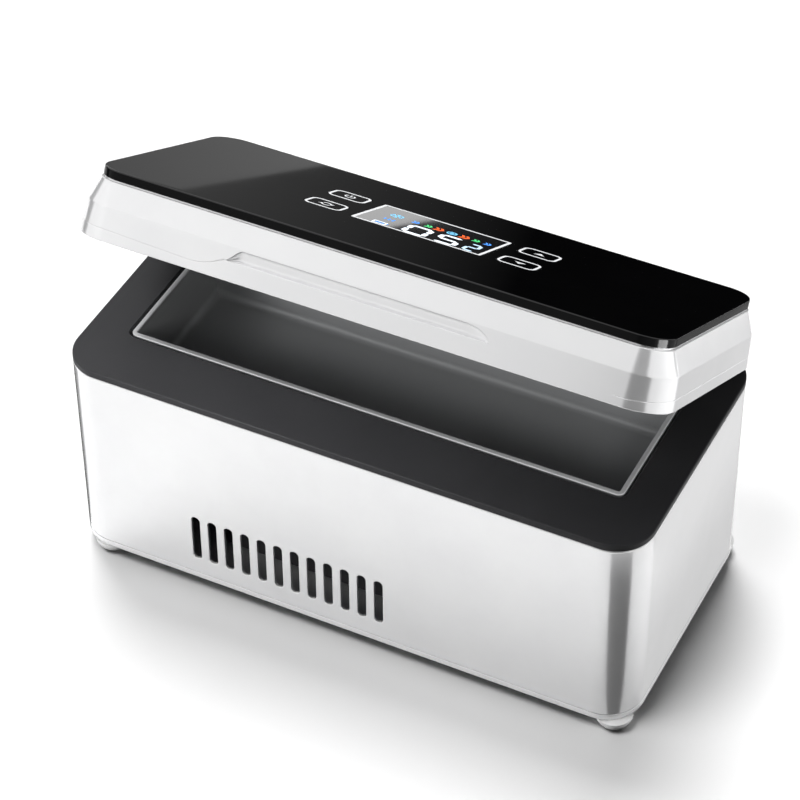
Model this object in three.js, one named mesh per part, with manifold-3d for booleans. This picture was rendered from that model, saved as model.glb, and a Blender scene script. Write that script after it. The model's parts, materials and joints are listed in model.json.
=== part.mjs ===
import * as THREE from 'three';
import { mergeVertices } from 'three/addons/utils/BufferGeometryUtils.js';
import Module from 'manifold-3d';

const wasm = await Module();
wasm.setup();

// Driving dimensions in millimetres: X runs right, Y runs back, Z runs up, and the front faces -Y.
const bodyLength = 215;
const bodyDepth = 104.4;
const bodyHeight = 81;
const cornerRadius = 14;
const footLift = 5;
const seamHeight = 3;
const wall = 2.5;
const bezelThick = 2.5;
const mouthInsetX = 15.5;
const mouthInsetY = 23;
const trayDepth = 24;
const lidHeight = 20;
const panelThick = 3.2;
const lidOpenDeg = 28.4;
const fit = 0.3;

// The tray leaves a band of the bezel on every side.
const trayLength = bodyLength - 2 * mouthInsetX;
const trayWidth = bodyDepth - 2 * mouthInsetY;

// Heights that several pieces share.
const baseZ = footLift;
const seamZ = baseZ + seamHeight;
const shellLowZ = seamZ + fit;
const bezelLowZ = baseZ + bodyHeight;
const shellTopZ = bezelLowZ - fit;
const bezelTopZ = bezelLowZ + bezelThick;
const trayFloorZ = bezelTopZ - trayDepth;

// The lid hinge: its axis runs along X, just inside the rear edge and just above the bezel.
const hingeInset = 2.6;
const hingeRise = 0.9;
const hingeY = bodyDepth / 2 - hingeInset;
const hingeZ = bezelTopZ + hingeRise;

// The lid's levels and outlines, drawn with the lid shut.
const lidLowZ = bezelTopZ + fit;
const lidTopZ = lidLowZ + lidHeight;
const panelLowZ = lidTopZ + fit;
const panelTopZ = panelLowZ + panelThick;
const lidInset = 0.3;
const lidHalfX = bodyLength / 2 - lidInset;
const lidHalfY = bodyDepth / 2 - lidInset;
const lidCorner = cornerRadius - lidInset;
const panelInsetX = 4.45;
const panelInsetY = 3.7;
const panelHalfX = lidHalfX - panelInsetX;
const panelHalfY = lidHalfY - panelInsetY;
const panelCorner = 10.5;

const overrun = 4;
const arcSteps = 6;
const innerSteps = 3;
const roundSteps = 18;
const smallSteps = 10;
const screwSteps = 8;
const cornerNames = ['front_left', 'front_right', 'rear_left', 'rear_right'];

// Shape helpers.
function cornerPoints(halfX, halfY, radius, steps) {
  const points = [];
  const corners = [[1, 1], [-1, 1], [-1, -1], [1, -1]];
  corners.forEach(([sx, sy], quarter) => {
    for (let i = 0; i <= steps; i += 1) {
      const angle = (quarter + i / steps) * Math.PI / 2;
      const x = sx * (halfX - radius) + radius * Math.cos(angle);
      const y = sy * (halfY - radius) + radius * Math.sin(angle);
      points.push([x, y]);
    }
  });
  return points;
}

function orient(positions, triangles) {
  let volume = 0;
  const a = new THREE.Vector3();
  const b = new THREE.Vector3();
  const c = new THREE.Vector3();
  for (let i = 0; i < triangles.length; i += 3) {
    a.fromArray(positions, triangles[i] * 3);
    b.fromArray(positions, triangles[i + 1] * 3);
    c.fromArray(positions, triangles[i + 2] * 3);
    volume += a.dot(b.cross(c));
  }
  if (volume < 0) {
    triangles.reverse();
  }
}

// Joins rounded rectangles, each given by half sizes, corner radius and height, into one closed body.
// A loop of them makes a sleeve, and an open run is capped at both ends.
function rings(levels, loop = false, steps = arcSteps) {
  const positions = [];
  const triangles = [];
  const outlines = levels.map(([halfX, halfY, radius]) => cornerPoints(halfX, halfY, radius, steps));
  const count = outlines[0].length;
  levels.forEach(([, , , z], level) => {
    outlines[level].forEach(([x, y]) => positions.push(x, y, z));
  });
  const bands = loop ? levels.length : levels.length - 1;
  for (let band = 0; band < bands; band += 1) {
    const low = band * count;
    const high = ((band + 1) % levels.length) * count;
    for (let i = 0; i < count; i += 1) {
      const next = (i + 1) % count;
      triangles.push(low + i, low + next, high + next);
      triangles.push(low + i, high + next, high + i);
    }
  }
  if (!loop) {
    [0, levels.length - 1].forEach((level) => {
      const middle = positions.length / 3;
      positions.push(0, 0, levels[level][3]);
      for (let i = 0; i < count; i += 1) {
        const here = level * count + i;
        const next = level * count + ((i + 1) % count);
        triangles.push(...(level === 0 ? [middle, next, here] : [middle, here, next]));
      }
    });
  }
  orient(positions, triangles);
  const geometry = new THREE.BufferGeometry();
  geometry.setAttribute('position', new THREE.Float32BufferAttribute(positions, 3));
  geometry.setIndex(triangles);
  return geometry;
}

function box(x0, x1, y0, y1, z0, z1) {
  const geometry = new THREE.BoxGeometry(x1 - x0, y1 - y0, z1 - z0);
  return geometry.translate((x0 + x1) / 2, (y0 + y1) / 2, (z0 + z1) / 2);
}

function upright(radius, x, y, z0, z1, steps = smallSteps) {
  const geometry = new THREE.CylinderGeometry(radius, radius, z1 - z0, steps);
  return geometry.rotateX(Math.PI / 2).translate(x, y, (z0 + z1) / 2);
}

function crosswise(radius, x0, x1, y, z, steps = roundSteps) {
  const geometry = new THREE.CylinderGeometry(radius, radius, x1 - x0, steps);
  return geometry.rotateZ(Math.PI / 2).translate((x0 + x1) / 2, y, z);
}

function endways(radius, x, z, y0, y1, steps = smallSteps) {
  const geometry = new THREE.CylinderGeometry(radius, radius, y1 - y0, steps);
  return geometry.translate(x, (y0 + y1) / 2, z);
}

function shapeOf(points) {
  return new THREE.Shape(points.map(([u, v]) => new THREE.Vector2(u, v)));
}

// An outline given as (y, z) points, run along X.
function alongX(points, x0, x1) {
  const geometry = new THREE.ExtrudeGeometry(shapeOf(points), { depth: x1 - x0, bevelEnabled: false });
  return geometry.rotateX(Math.PI / 2).rotateZ(Math.PI / 2).translate(x0, 0, 0);
}

// An outline given as (x, z) points, run along Y.
function alongY(points, y0, y1) {
  const geometry = new THREE.ExtrudeGeometry(shapeOf(points), { depth: y1 - y0, bevelEnabled: false });
  return geometry.rotateX(Math.PI / 2).translate(0, y1, 0);
}

function turned(profile, x, y, steps = roundSteps) {
  const points = profile.map(([radius, z]) => new THREE.Vector2(radius, z));
  const geometry = new THREE.LatheGeometry(points, steps);
  return geometry.rotateX(Math.PI / 2).translate(x, y, 0);
}

function solid(geometry) {
  const plain = geometry.clone();
  plain.deleteAttribute('normal');
  plain.deleteAttribute('uv');
  const merged = mergeVertices(plain);
  const triangles = Array.from(merged.index.array);
  const kept = [];
  for (let i = 0; i < triangles.length; i += 3) {
    const [a, b, c] = triangles.slice(i, i + 3);
    if (a !== b && b !== c && c !== a) {
      kept.push(a, b, c);
    }
  }
  const positions = merged.attributes.position.array;
  orient(positions, kept);
  return new wasm.Manifold(new wasm.Mesh({
    numProp: 3,
    vertProperties: Float32Array.from(positions),
    triVerts: Uint32Array.from(kept),
  }));
}

function joined(...pieces) {
  return pieces.map((piece) => (piece.isBufferGeometry ? solid(piece) : piece)).reduce((a, b) => a.add(b));
}

function cut(piece, ...tools) {
  const start = piece.isBufferGeometry ? solid(piece) : piece;
  return tools.reduce((left, tool) => left.subtract(tool.isBufferGeometry ? solid(tool) : tool), start);
}

function common(a, b) {
  return solid(a).intersect(solid(b));
}

function geometryOf(piece) {
  if (piece.isBufferGeometry) {
    return piece;
  }
  const mesh = piece.getMesh();
  const geometry = new THREE.BufferGeometry();
  geometry.setAttribute('position', new THREE.BufferAttribute(mesh.vertProperties, mesh.numProp));
  geometry.setIndex(new THREE.BufferAttribute(mesh.triVerts, 1));
  return geometry;
}

function finish(color, roughness, metalness = 0) {
  return new THREE.MeshStandardMaterial({ color, roughness, metalness });
}

const whiteShell = finish('#f2f2f2', 0.25);
const whiteFoot = finish('#e6e6e6', 0.4);
const darkSatin = finish('#26272a', 0.45);
const blackGloss = finish('#050506', 0.06);
const smokedLens = finish('#101418', 0.05);
const anodised = finish('#7d7f84', 0.4, 0.8);
const bareAluminium = finish('#b9bcc0', 0.35, 1);
const steel = finish('#c2c4c8', 0.3, 1);
const foamGrey = finish('#4a4c50', 0.95);
const ceramic = finish('#f4f1e8', 0.6);
const boardGreen = finish('#1f5a3a', 0.5);
const blackPlastic = finish('#17181a', 0.5);
const sealGrey = finish('#8c8f94', 0.8);
const wrapBlue = finish('#2c5aa0', 0.4);
const wireRed = finish('#b3261e', 0.5);

const body = new THREE.Group();
const lidTurn = new THREE.Group();
const lid = new THREE.Group();
lidTurn.position.set(0, hingeY, hingeZ);
lidTurn.rotation.x = -THREE.MathUtils.degToRad(lidOpenDeg);
lid.position.set(0, -hingeY, -hingeZ);
lidTurn.add(lid);

function place(name, piece, material, group = body) {
  const mesh = new THREE.Mesh(geometryOf(piece), material);
  mesh.name = name;
  group.add(mesh);
  return mesh;
}

// Body shell: a moulded sleeve, open above and below, with air slots through its front and rear walls.
const slotCount = 12;
const slotWidth = 3.3;
const slotHeight = 20;
const slotLowZ = 15.2;
const slotEndInset = 50.7;
const slotFirstX = slotEndInset - bodyLength / 2;
const slotPitch = 6.45;
const slotSteps = 4;
const bossRadius = 3.5;
const bossBore = 1.65;
const bossHeight = 16;
const bossX = bodyLength / 2 - wall - bossRadius + fit;
const bossInsetY = 22.2;
const bossY = bodyDepth / 2 - bossInsetY;
const jackEndInset = 27.5;
const jackX = jackEndInset - bodyLength / 2;
const jackZ = 27.4;
const jackBarrel = 5.2;
const jackRoom = 0.45;

function slotOutline(x) {
  const radius = slotWidth / 2;
  const points = [];
  for (let i = 0; i <= slotSteps; i += 1) {
    const angle = Math.PI * i / slotSteps;
    points.push([x + radius * Math.cos(angle), slotLowZ + slotHeight - radius + radius * Math.sin(angle)]);
  }
  for (let i = 0; i <= slotSteps; i += 1) {
    const angle = Math.PI * (1 + i / slotSteps);
    points.push([x + radius * Math.cos(angle), slotLowZ + radius + radius * Math.sin(angle)]);
  }
  return points;
}

const cornersOf = (x, y) => [[-x, -y], [x, -y], [-x, y], [x, y]];
const innerHalfX = bodyLength / 2 - wall;
const innerHalfY = bodyDepth / 2 - wall;
const innerCorner = cornerRadius - wall;

const sleeve = rings([
  [bodyLength / 2, bodyDepth / 2, cornerRadius, shellLowZ],
  [bodyLength / 2, bodyDepth / 2, cornerRadius, shellTopZ],
  [innerHalfX, innerHalfY, innerCorner, shellTopZ],
  [innerHalfX, innerHalfY, innerCorner, shellLowZ],
], true);
const slots = [];
for (let i = 0; i < slotCount; i += 1) {
  const outline = slotOutline(slotFirstX + i * slotPitch);
  slots.push(alongY(outline, -bodyDepth / 2 - overrun, -innerHalfY + overrun));
  slots.push(alongY(outline, innerHalfY - overrun, bodyDepth / 2 + overrun));
}
const shellBosses = cornersOf(bossX, bossY).map(([x, y]) => (
  upright(bossRadius, x, y, shellLowZ, shellLowZ + bossHeight)
));
const shellBores = cornersOf(bossX, bossY).map(([x, y]) => (
  upright(bossBore, x, y, shellLowZ - overrun, shellLowZ + bossHeight - wall)
));
const socketHole = endways(
  jackBarrel + jackRoom, jackX, jackZ, innerHalfY - overrun, bodyDepth / 2 + overrun, roundSteps,
);
place('body_shell', cut(joined(sleeve, ...shellBosses), ...slots, ...shellBores, socketHole), whiteShell);

// Feet: turned soft plastic domes, each with a peg through the base cover.
const footRadius = 6.4;
const footFlat = 4.2;
const footPeg = 2;
const footRightInset = 7.7;
const footLeftInset = 12.1;
const footInsetY = 6.6;
const footRightX = bodyLength / 2 - footRightInset;
const footLeftX = footLeftInset - bodyLength / 2;
const footY = bodyDepth / 2 - footInsetY;
const footBulgeZ = 3.2;
const footTopRadius = 5.4;
const footTopZ = baseZ - fit;
const floorThick = 2.2;
const floorZ = baseZ + floorThick;
const pegTopZ = floorZ + fit;
const pegRoom = 0.45;
const footFlankShare = 0.9;
const footFlankZShare = 0.35;
const footProfile = [
  [0, 0],
  [footFlat, 0],
  [footRadius * footFlankShare, footBulgeZ * footFlankZShare],
  [footRadius, footBulgeZ],
  [footTopRadius, footTopZ],
  [footPeg, footTopZ],
  [footPeg, pegTopZ],
  [0, pegTopZ],
];
const feet = [
  ['foot_front_left', footLeftX, -footY],
  ['foot_front_right', footRightX, -footY],
  ['foot_rear_left', footLeftX, footY],
  ['foot_rear_right', footRightX, footY],
];
feet.forEach(([name, x, y]) => place(name, turned(footProfile, x, y), whiteFoot));

// Cooler: a fan blows up through the fins of a heat sink. Above it sit the thermoelectric module and the cold block.
const coolerX = slotFirstX + slotPitch * (slotCount - 1) / 2;
const fanHalf = 35;
const fanThick = 12;
const fanPost = 1.4;
const fanLowZ = floorZ + fanPost + fit;
const fanTopZ = fanLowZ + fanThick;
const fanRim = 2;
const fanBore = fanHalf - fanRim;
const fanCorner = 4;
const fanMotorRadius = 13;
const fanMotorThick = 2;
const fanSpokeWidth = 3;
const fanSpokes = 3;
const rotorHub = 12.5;
const bladeRoom = 1;
const rotorTip = fanBore - bladeRoom;
const rotorBlades = 7;
const bladeThick = 1.2;
const bladeTilt = 0.6;
const bladeHeight = 5.5;
const fanHoleInset = 4.2;
const fanHoleRadius = 2;
const postRadius = 2.6;
const fanMiddleZ = (fanLowZ + fanTopZ) / 2;

const fanOutline = rings([
  [fanHalf, fanHalf, fanCorner, fanLowZ],
  [fanHalf, fanHalf, fanCorner, fanTopZ],
], false, innerSteps);
const fanHoles = cornersOf(fanHalf - fanHoleInset, fanHalf - fanHoleInset).map(([x, y]) => (
  upright(fanHoleRadius, x, y, fanLowZ - overrun, fanTopZ + overrun)
));
const fanMouth = upright(fanBore, 0, 0, fanLowZ - overrun, fanTopZ + overrun, roundSteps);
const fanFrame = cut(fanOutline, fanMouth, ...fanHoles);
const fanSpokeBars = [];
for (let i = 0; i < fanSpokes; i += 1) {
  const bar = box(0, fanBore + fit, -fanSpokeWidth / 2, fanSpokeWidth / 2, fanLowZ, fanLowZ + fanMotorThick);
  fanSpokeBars.push(bar.rotateZ(Math.PI * 2 * i / fanSpokes));
}
const fanMotor = upright(fanMotorRadius, 0, 0, fanLowZ, fanLowZ + fanMotorThick, roundSteps);
place('fan_frame', joined(fanFrame, fanMotor, ...fanSpokeBars), blackPlastic).position.x = coolerX;

const rotorLowZ = fanLowZ + fanMotorThick + fit;
const rotorTopZ = fanTopZ - fit;
const blades = [];
for (let i = 0; i < rotorBlades; i += 1) {
  const blade = box(rotorHub - wall, rotorTip, -bladeThick / 2, bladeThick / 2, -bladeHeight / 2, bladeHeight / 2);
  blade.rotateX(bladeTilt).translate(0, 0, (rotorLowZ + rotorTopZ) / 2);
  blades.push(blade.rotateZ(Math.PI * 2 * i / rotorBlades));
}
const rotor = joined(upright(rotorHub, 0, 0, rotorLowZ, rotorTopZ, roundSteps), ...blades);
place('fan_rotor', rotor, blackPlastic).position.x = coolerX;

const sinkOverhang = 2;
const sinkHalf = fanHalf + sinkOverhang;
const sinkBase = 4;
const finCount = 11;
const finThick = 1.6;
const finHeight = 14;
const sinkLowZ = fanTopZ + fit;
const sinkMidZ = sinkLowZ + finHeight;
const sinkTopZ = sinkMidZ + sinkBase;
const finPitch = (2 * sinkHalf - finThick) / (finCount - 1);
const finOutline = [[sinkHalf, sinkTopZ], [-sinkHalf, sinkTopZ]];
for (let i = 0; i < finCount; i += 1) {
  const left = -sinkHalf + i * finPitch;
  if (i > 0) {
    finOutline.push([left, sinkMidZ]);
  }
  finOutline.push([left, sinkLowZ], [left + finThick, sinkLowZ]);
  if (i < finCount - 1) {
    finOutline.push([left + finThick, sinkMidZ]);
  }
}
place('heat_sink', alongY(finOutline, -sinkHalf, sinkHalf), bareAluminium).position.x = coolerX;

const moduleHalf = 20;
const plateThick = 0.8;
const moduleCore = 2;
const coreInset = 1;
const moduleCorner = 0.6;
const moduleLowZ = sinkTopZ + fit;
const coreLowZ = moduleLowZ + plateThick;
const coreTopZ = coreLowZ + moduleCore;
const moduleTopZ = coreTopZ + plateThick;
place('cooling_module', rings([
  [moduleHalf, moduleHalf, moduleCorner, moduleLowZ],
  [moduleHalf, moduleHalf, moduleCorner, coreLowZ],
  [moduleHalf - coreInset, moduleHalf - coreInset, moduleCorner, coreLowZ],
  [moduleHalf - coreInset, moduleHalf - coreInset, moduleCorner, coreTopZ],
  [moduleHalf, moduleHalf, moduleCorner, coreTopZ],
  [moduleHalf, moduleHalf, moduleCorner, moduleTopZ],
], false, 1), ceramic).position.x = coolerX;

const trayFloorThick = 1.5;
const trayUnderZ = trayFloorZ - trayFloorThick;
const blockCorner = 1;
place('cold_block', rings([
  [moduleHalf, moduleHalf, blockCorner, moduleTopZ + fit],
  [moduleHalf, moduleHalf, blockCorner, trayUnderZ - fit],
], false, innerSteps), bareAluminium).position.x = coolerX;

// Cooling tray: drawn aluminium, its rim flush with the bezel and a flange clamped under the bezel.
const rimWidth = 1.8;
const rimCorner = 2.4;
const rimInnerCorner = 1;
const flangeOut = 3;
const flangeThick = 1.5;
const trayFillet = 3;
const trayHalfX = trayLength / 2;
const trayHalfY = trayWidth / 2;
const rimTopZ = bezelTopZ;
const flangeTopZ = bezelLowZ - fit;
const flangeLowZ = flangeTopZ - flangeThick;
const trayInX = trayHalfX - rimWidth;
const trayInY = trayHalfY - rimWidth;
place('cooling_tray', rings([
  [trayInX - trayFillet, trayInY - trayFillet, rimInnerCorner, trayFloorZ],
  [trayInX, trayInY, rimInnerCorner, trayFloorZ + trayFillet],
  [trayInX, trayInY, rimInnerCorner, rimTopZ],
  [trayHalfX, trayHalfY, rimCorner, rimTopZ],
  [trayHalfX, trayHalfY, rimCorner, flangeTopZ],
  [trayHalfX + flangeOut, trayHalfY + flangeOut, rimCorner + flangeOut, flangeTopZ],
  [trayHalfX + flangeOut, trayHalfY + flangeOut, rimCorner + flangeOut, flangeLowZ],
  [trayHalfX, trayHalfY, rimCorner, flangeLowZ],
  [trayHalfX, trayHalfY, rimCorner, trayUnderZ + trayFillet],
  [trayHalfX - trayFillet, trayHalfY - trayFillet, rimCorner, trayUnderZ],
], false, innerSteps), anodised);

// Insulation: one foam block with a pocket for the tray, a shaft for the cold block and a pocket for the sensor.
const skirtThick = 1.6;
const skirtHeight = 4;
const skirtHalfX = innerHalfX - fit;
const skirtHalfY = innerHalfY - fit;
const skirtCorner = innerCorner - fit;
const foamHalfX = skirtHalfX - skirtThick - fit;
const foamHalfY = skirtHalfY - skirtThick - fit;
const foamCorner = skirtCorner - skirtThick - fit;
const foamLowZ = moduleTopZ + fit + wall;
const foamTopZ = flangeLowZ - fit;
const pocketFloorZ = trayUnderZ - fit;
const sensorEndInset = 17;
const sensorX = sensorEndInset - trayHalfX;
const sensorHalfX = 3.5;
const sensorHalfY = 2.5;
const sensorHeight = 3;
const foamBlock = rings([
  [foamHalfX, foamHalfY, foamCorner, foamLowZ],
  [foamHalfX, foamHalfY, foamCorner, foamTopZ],
], false, innerSteps);
const trayPocket = rings([
  [trayHalfX + fit, trayHalfY + fit, rimCorner + fit, pocketFloorZ],
  [trayHalfX + fit, trayHalfY + fit, rimCorner + fit, foamTopZ + overrun],
], false, innerSteps);
const shaftHalf = moduleHalf + fit;
const blockShaft = box(
  coolerX - shaftHalf, coolerX + shaftHalf, -shaftHalf, shaftHalf, foamLowZ - overrun, pocketFloorZ + overrun,
);
const sensorLowZ = pocketFloorZ - sensorHeight;
const sensorPocket = box(
  sensorX - sensorHalfX - fit, sensorX + sensorHalfX + fit,
  -sensorHalfY - fit, sensorHalfY + fit,
  sensorLowZ - fit, pocketFloorZ + overrun,
);
place('insulation_foam', cut(foamBlock, trayPocket, blockShaft, sensorPocket), foamGrey);
place('temperature_sensor', box(
  sensorX - sensorHalfX, sensorX + sensorHalfX, -sensorHalfY, sensorHalfY, sensorLowZ, pocketFloorZ,
), blackPlastic);

// Battery: cells side by side in a shrink wrap, lying along Y. They fill the room between the heat sink and the
// right end of the body.
const cellRadius = 9.4;
const packHalfY = 33;
const packEndInset = 17.3;
const packEndX = bodyLength / 2 - packEndInset;
const cellCount = Math.floor((packEndX - coolerX - sinkHalf - fit) / (2 * cellRadius));
const packX = packEndX - cellCount * cellRadius;
const packLowZ = floorZ + fit;
const packZ = packLowZ + cellRadius;
const packSpan = (cellCount - 1) * cellRadius;
const packOutline = [];
for (let i = 0; i <= smallSteps; i += 1) {
  const angle = -Math.PI / 2 + Math.PI * i / smallSteps;
  packOutline.push([packX + packSpan + cellRadius * Math.cos(angle), packZ + cellRadius * Math.sin(angle)]);
}
for (let i = 0; i <= smallSteps; i += 1) {
  const angle = Math.PI / 2 + Math.PI * i / smallSteps;
  packOutline.push([packX - packSpan + cellRadius * Math.cos(angle), packZ + cellRadius * Math.sin(angle)]);
}
place('battery_pack', alongY(packOutline, -packHalfY, packHalfY), wrapBlue);

// Control board: on four posts at the left, with its connectors, coil and capacitors soldered on.
const boardThick = 1.6;
const boardEndGap = 7.6;
const boardAisle = 6.675;
const boardFrontGap = 15.7;
const boardRearGap = 3.7;
const boardX0 = boardEndGap - innerHalfX;
const boardX1 = coolerX - sinkHalf - boardAisle;
const boardY0 = boardFrontGap - innerHalfY;
const boardY1 = innerHalfY - boardRearGap;
const boardDeep = boardY1 - boardY0;
const boardZ = 19.8;
const boardTopZ = boardZ + boardThick;
const boardPostInset = 4;
const plugWide = 7;
const plugDeep = 5.5;
const plugTall = 5;
const plugYShares = [0.175, 0.45, 0.7];
const [fanPlugY, modulePlugY, batteryPlugY] = plugYShares.map((share) => boardY0 + share * boardDeep);
const coilRadius = 6;
const coilHeight = 8;
const coilInset = 13.4;
const coilYShare = 0.35;
const coilX = boardX0 + coilInset;
const coilY = boardY0 + coilYShare * boardDeep;
const capRadius = 4;
const capHeight = 11;
const capInset = 9.4;
const capYShare = 0.575;
const capX = boardX0 + capInset;
const capY = boardY0 + capYShare * boardDeep;
const chipHalf = 4;
const chipHeight = 1.4;
const chipInset = 13.4;
const chipYShare = 0.125;
const chipX = boardX0 + chipInset;
const chipY = boardY0 + chipYShare * boardDeep;
const plugs = [fanPlugY, modulePlugY, batteryPlugY].map((y) => (
  box(boardX1 - plugDeep, boardX1, y - plugWide / 2, y + plugWide / 2, boardZ, boardTopZ + plugTall)
));
place('control_board', joined(
  box(boardX0, boardX1, boardY0, boardY1, boardZ, boardTopZ),
  ...plugs,
  upright(coilRadius, coilX, coilY, boardZ, boardTopZ + coilHeight),
  upright(capRadius, capX, capY, boardZ, boardTopZ + capHeight),
  box(chipX - chipHalf, chipX + chipHalf, chipY - chipHalf, chipY + chipHalf, boardZ, boardTopZ + chipHeight),
), boardGreen);

// Power inlet: a jack on the board whose round mouth shows through the rear wall.
const jackHalfX = 5.6;
const jackHalfZ = jackZ - boardTopZ - fit;
const jackBodyDeep = 14;
const jackBodyY = innerHalfY - fit;
const jackMouthY = bodyDepth / 2 - fit;
const socketRadius = 3.2;
const socketDepth = 10;
const centrePin = 1;
const pinTipInset = 1;
const jackShell = cut(
  joined(
    box(
      jackX - jackHalfX, jackX + jackHalfX,
      jackBodyY - jackBodyDeep, jackBodyY,
      jackZ - jackHalfZ, jackZ + jackHalfZ,
    ),
    endways(jackBarrel, jackX, jackZ, jackBodyY - wall, jackMouthY, roundSteps),
  ),
  endways(socketRadius, jackX, jackZ, jackMouthY - socketDepth, jackMouthY + overrun, roundSteps),
);
place('dc_jack', joined(
  jackShell,
  endways(centrePin, jackX, jackZ, jackMouthY - socketDepth - wall, jackMouthY - pinTipInset),
), blackPlastic);

// Inner leads, each a run of insulated wire between two connectors.
const leadRadius = 1.1;
const leadSides = 6;
const leadSteps = 12;
const leadGap = 0.8;
const plugZ = boardTopZ + plugTall / 2;
const leadEndX = boardX1 + leadGap;
const aisleY = sinkHalf + (innerHalfY - sinkHalf) / 2;
const fanSideX = coolerX - fanHalf - leadGap;
const gapX = (leadEndX + coolerX - sinkHalf) / 2;
const leadTurn = 3;

function lead(name, points, material) {
  const path = new THREE.CatmullRomCurve3(points.map(([x, y, z]) => new THREE.Vector3(x, y, z)));
  const section = [];
  for (let i = 0; i < leadSides; i += 1) {
    const angle = Math.PI * 2 * i / leadSides;
    section.push([leadRadius * Math.cos(angle), leadRadius * Math.sin(angle)]);
  }
  const geometry = new THREE.ExtrudeGeometry(shapeOf(section), {
    steps: leadSteps, bevelEnabled: false, extrudePath: path,
  });
  place(name, solid(geometry), material);
}

lead('fan_lead', [
  [fanSideX, fanPlugY, fanMiddleZ],
  [gapX, fanPlugY, fanMiddleZ + leadRadius],
  [gapX, fanPlugY, plugZ - leadRadius],
  [leadEndX, fanPlugY, plugZ],
], blackPlastic);
lead('cooler_lead', [
  [coolerX - moduleHalf - leadGap, modulePlugY, (coreLowZ + coreTopZ) / 2],
  [coolerX - sinkHalf + leadTurn, modulePlugY, (coreLowZ + coreTopZ) / 2],
  [coolerX - sinkHalf - leadRadius, modulePlugY, (coreLowZ + coreTopZ) / 2],
  [gapX, modulePlugY, sinkMidZ],
  [gapX, modulePlugY, plugZ + leadRadius],
  [leadEndX, modulePlugY, plugZ],
], wireRed);
lead('battery_lead', [
  [packX - packSpan, packHalfY + leadGap, packZ],
  [packX - packSpan, packHalfY + leadGap + leadTurn, packZ],
  [packX - packSpan - leadTurn, aisleY, packZ],
  [coolerX + sinkHalf, aisleY, packZ],
  [coolerX, aisleY, packZ],
  [coolerX - sinkHalf, aisleY, plugZ],
  [gapX, aisleY - 2 * leadTurn, plugZ],
  [gapX, batteryPlugY + 2 * leadTurn, plugZ],
  [gapX - leadRadius / 2, batteryPlugY + leadRadius, plugZ],
  [leadEndX, batteryPlugY, plugZ],
], wireRed);

// Base cover: closes the body from below, with a lip inside the shell and posts for what stands on it.
const lipThick = 1.5;
const lipHeight = 2.5;
const baseFillet = 0.8;
const lipHalfX = innerHalfX - fit;
const lipHalfY = innerHalfY - fit;
const lipCorner = innerCorner - fit;
const lipTopZ = seamZ + lipHeight;
const screwHead = 2.6;
const screwHeadThick = 1.6;
const screwShank = 1.2;
const screwLength = 12;
const screwRoom = 0.5;
const headPocketZ = baseZ + screwHeadThick;
const basePan = rings([
  [lipHalfX - lipThick, lipHalfY - lipThick, lipCorner - lipThick, floorZ],
  [lipHalfX - lipThick, lipHalfY - lipThick, lipCorner - lipThick, lipTopZ],
  [lipHalfX, lipHalfY, lipCorner, lipTopZ],
  [lipHalfX, lipHalfY, lipCorner, seamZ],
  [bodyLength / 2, bodyDepth / 2, cornerRadius, seamZ],
  [bodyLength / 2, bodyDepth / 2, cornerRadius, baseZ + baseFillet],
  [bodyLength / 2 - baseFillet, bodyDepth / 2 - baseFillet, cornerRadius - baseFillet, baseZ],
]);
const lipGaps = cornersOf(bossX, bossY).map(([x, y]) => upright(bossRadius + fit, x, y, seamZ, lipTopZ + overrun));
const screwPads = cornersOf(bossX, bossY).map(([x, y]) => upright(bossRadius, x, y, baseZ + baseFillet, seamZ));
const headPockets = cornersOf(bossX, bossY).map(([x, y]) => (
  upright(screwHead + screwRoom, x, y, baseZ - overrun, headPocketZ + fit)
));
const shankHoles = cornersOf(bossX, bossY).map(([x, y]) => upright(bossBore, x, y, baseZ, seamZ + overrun));
const pegHoles = feet.map(([, x, y]) => upright(footPeg + pegRoom, x, y, baseZ - overrun, floorZ + overrun));
const fanPosts = cornersOf(fanHalf - fanHoleInset, fanHalf - fanHoleInset).map(([x, y]) => (
  upright(postRadius, coolerX + x, y, baseZ + baseFillet, floorZ + fanPost)
));
const boardPosts = [
  [boardX0 + boardPostInset, boardY0 + boardPostInset],
  [boardX1 - boardPostInset, boardY0 + boardPostInset],
  [boardX0 + boardPostInset, boardY1 - boardPostInset],
  [boardX1 - boardPostInset, boardY1 - boardPostInset],
].map(([x, y]) => upright(postRadius, x, y, baseZ + baseFillet, boardZ - fit));
const ribThick = 1.6;
const ribHeight = 6;
const packRibs = [-1, 1].map((side) => {
  const near = packHalfY + fit;
  const ends = [side * near, side * (near + ribThick)].sort((a, b) => a - b);
  return box(packX, packX + packSpan, ends[0], ends[1], baseZ + baseFillet, floorZ + ribHeight);
});
place('base_cover', cut(
  joined(cut(basePan, ...lipGaps), ...screwPads, ...fanPosts, ...boardPosts, ...packRibs),
  ...headPockets,
  ...shankHoles,
  ...pegHoles,
), whiteShell);

function screw(name, x, y, headZ, headThick, headRadius, shankRadius, length, group = body) {
  const shankZ = headZ + headThick;
  const profile = [
    [0, headZ],
    [headRadius, headZ],
    [headRadius, shankZ],
    [shankRadius, shankZ],
    [shankRadius, shankZ + length],
    [0, shankZ + length],
  ];
  place(name, turned(profile, x, y, screwSteps), steel, group);
}

cornersOf(bossX, bossY).forEach(([x, y], i) => screw(
  `base_screw_${cornerNames[i]}`, x, y, baseZ + fit, screwHeadThick - fit, screwHead, screwShank, screwLength,
));

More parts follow.
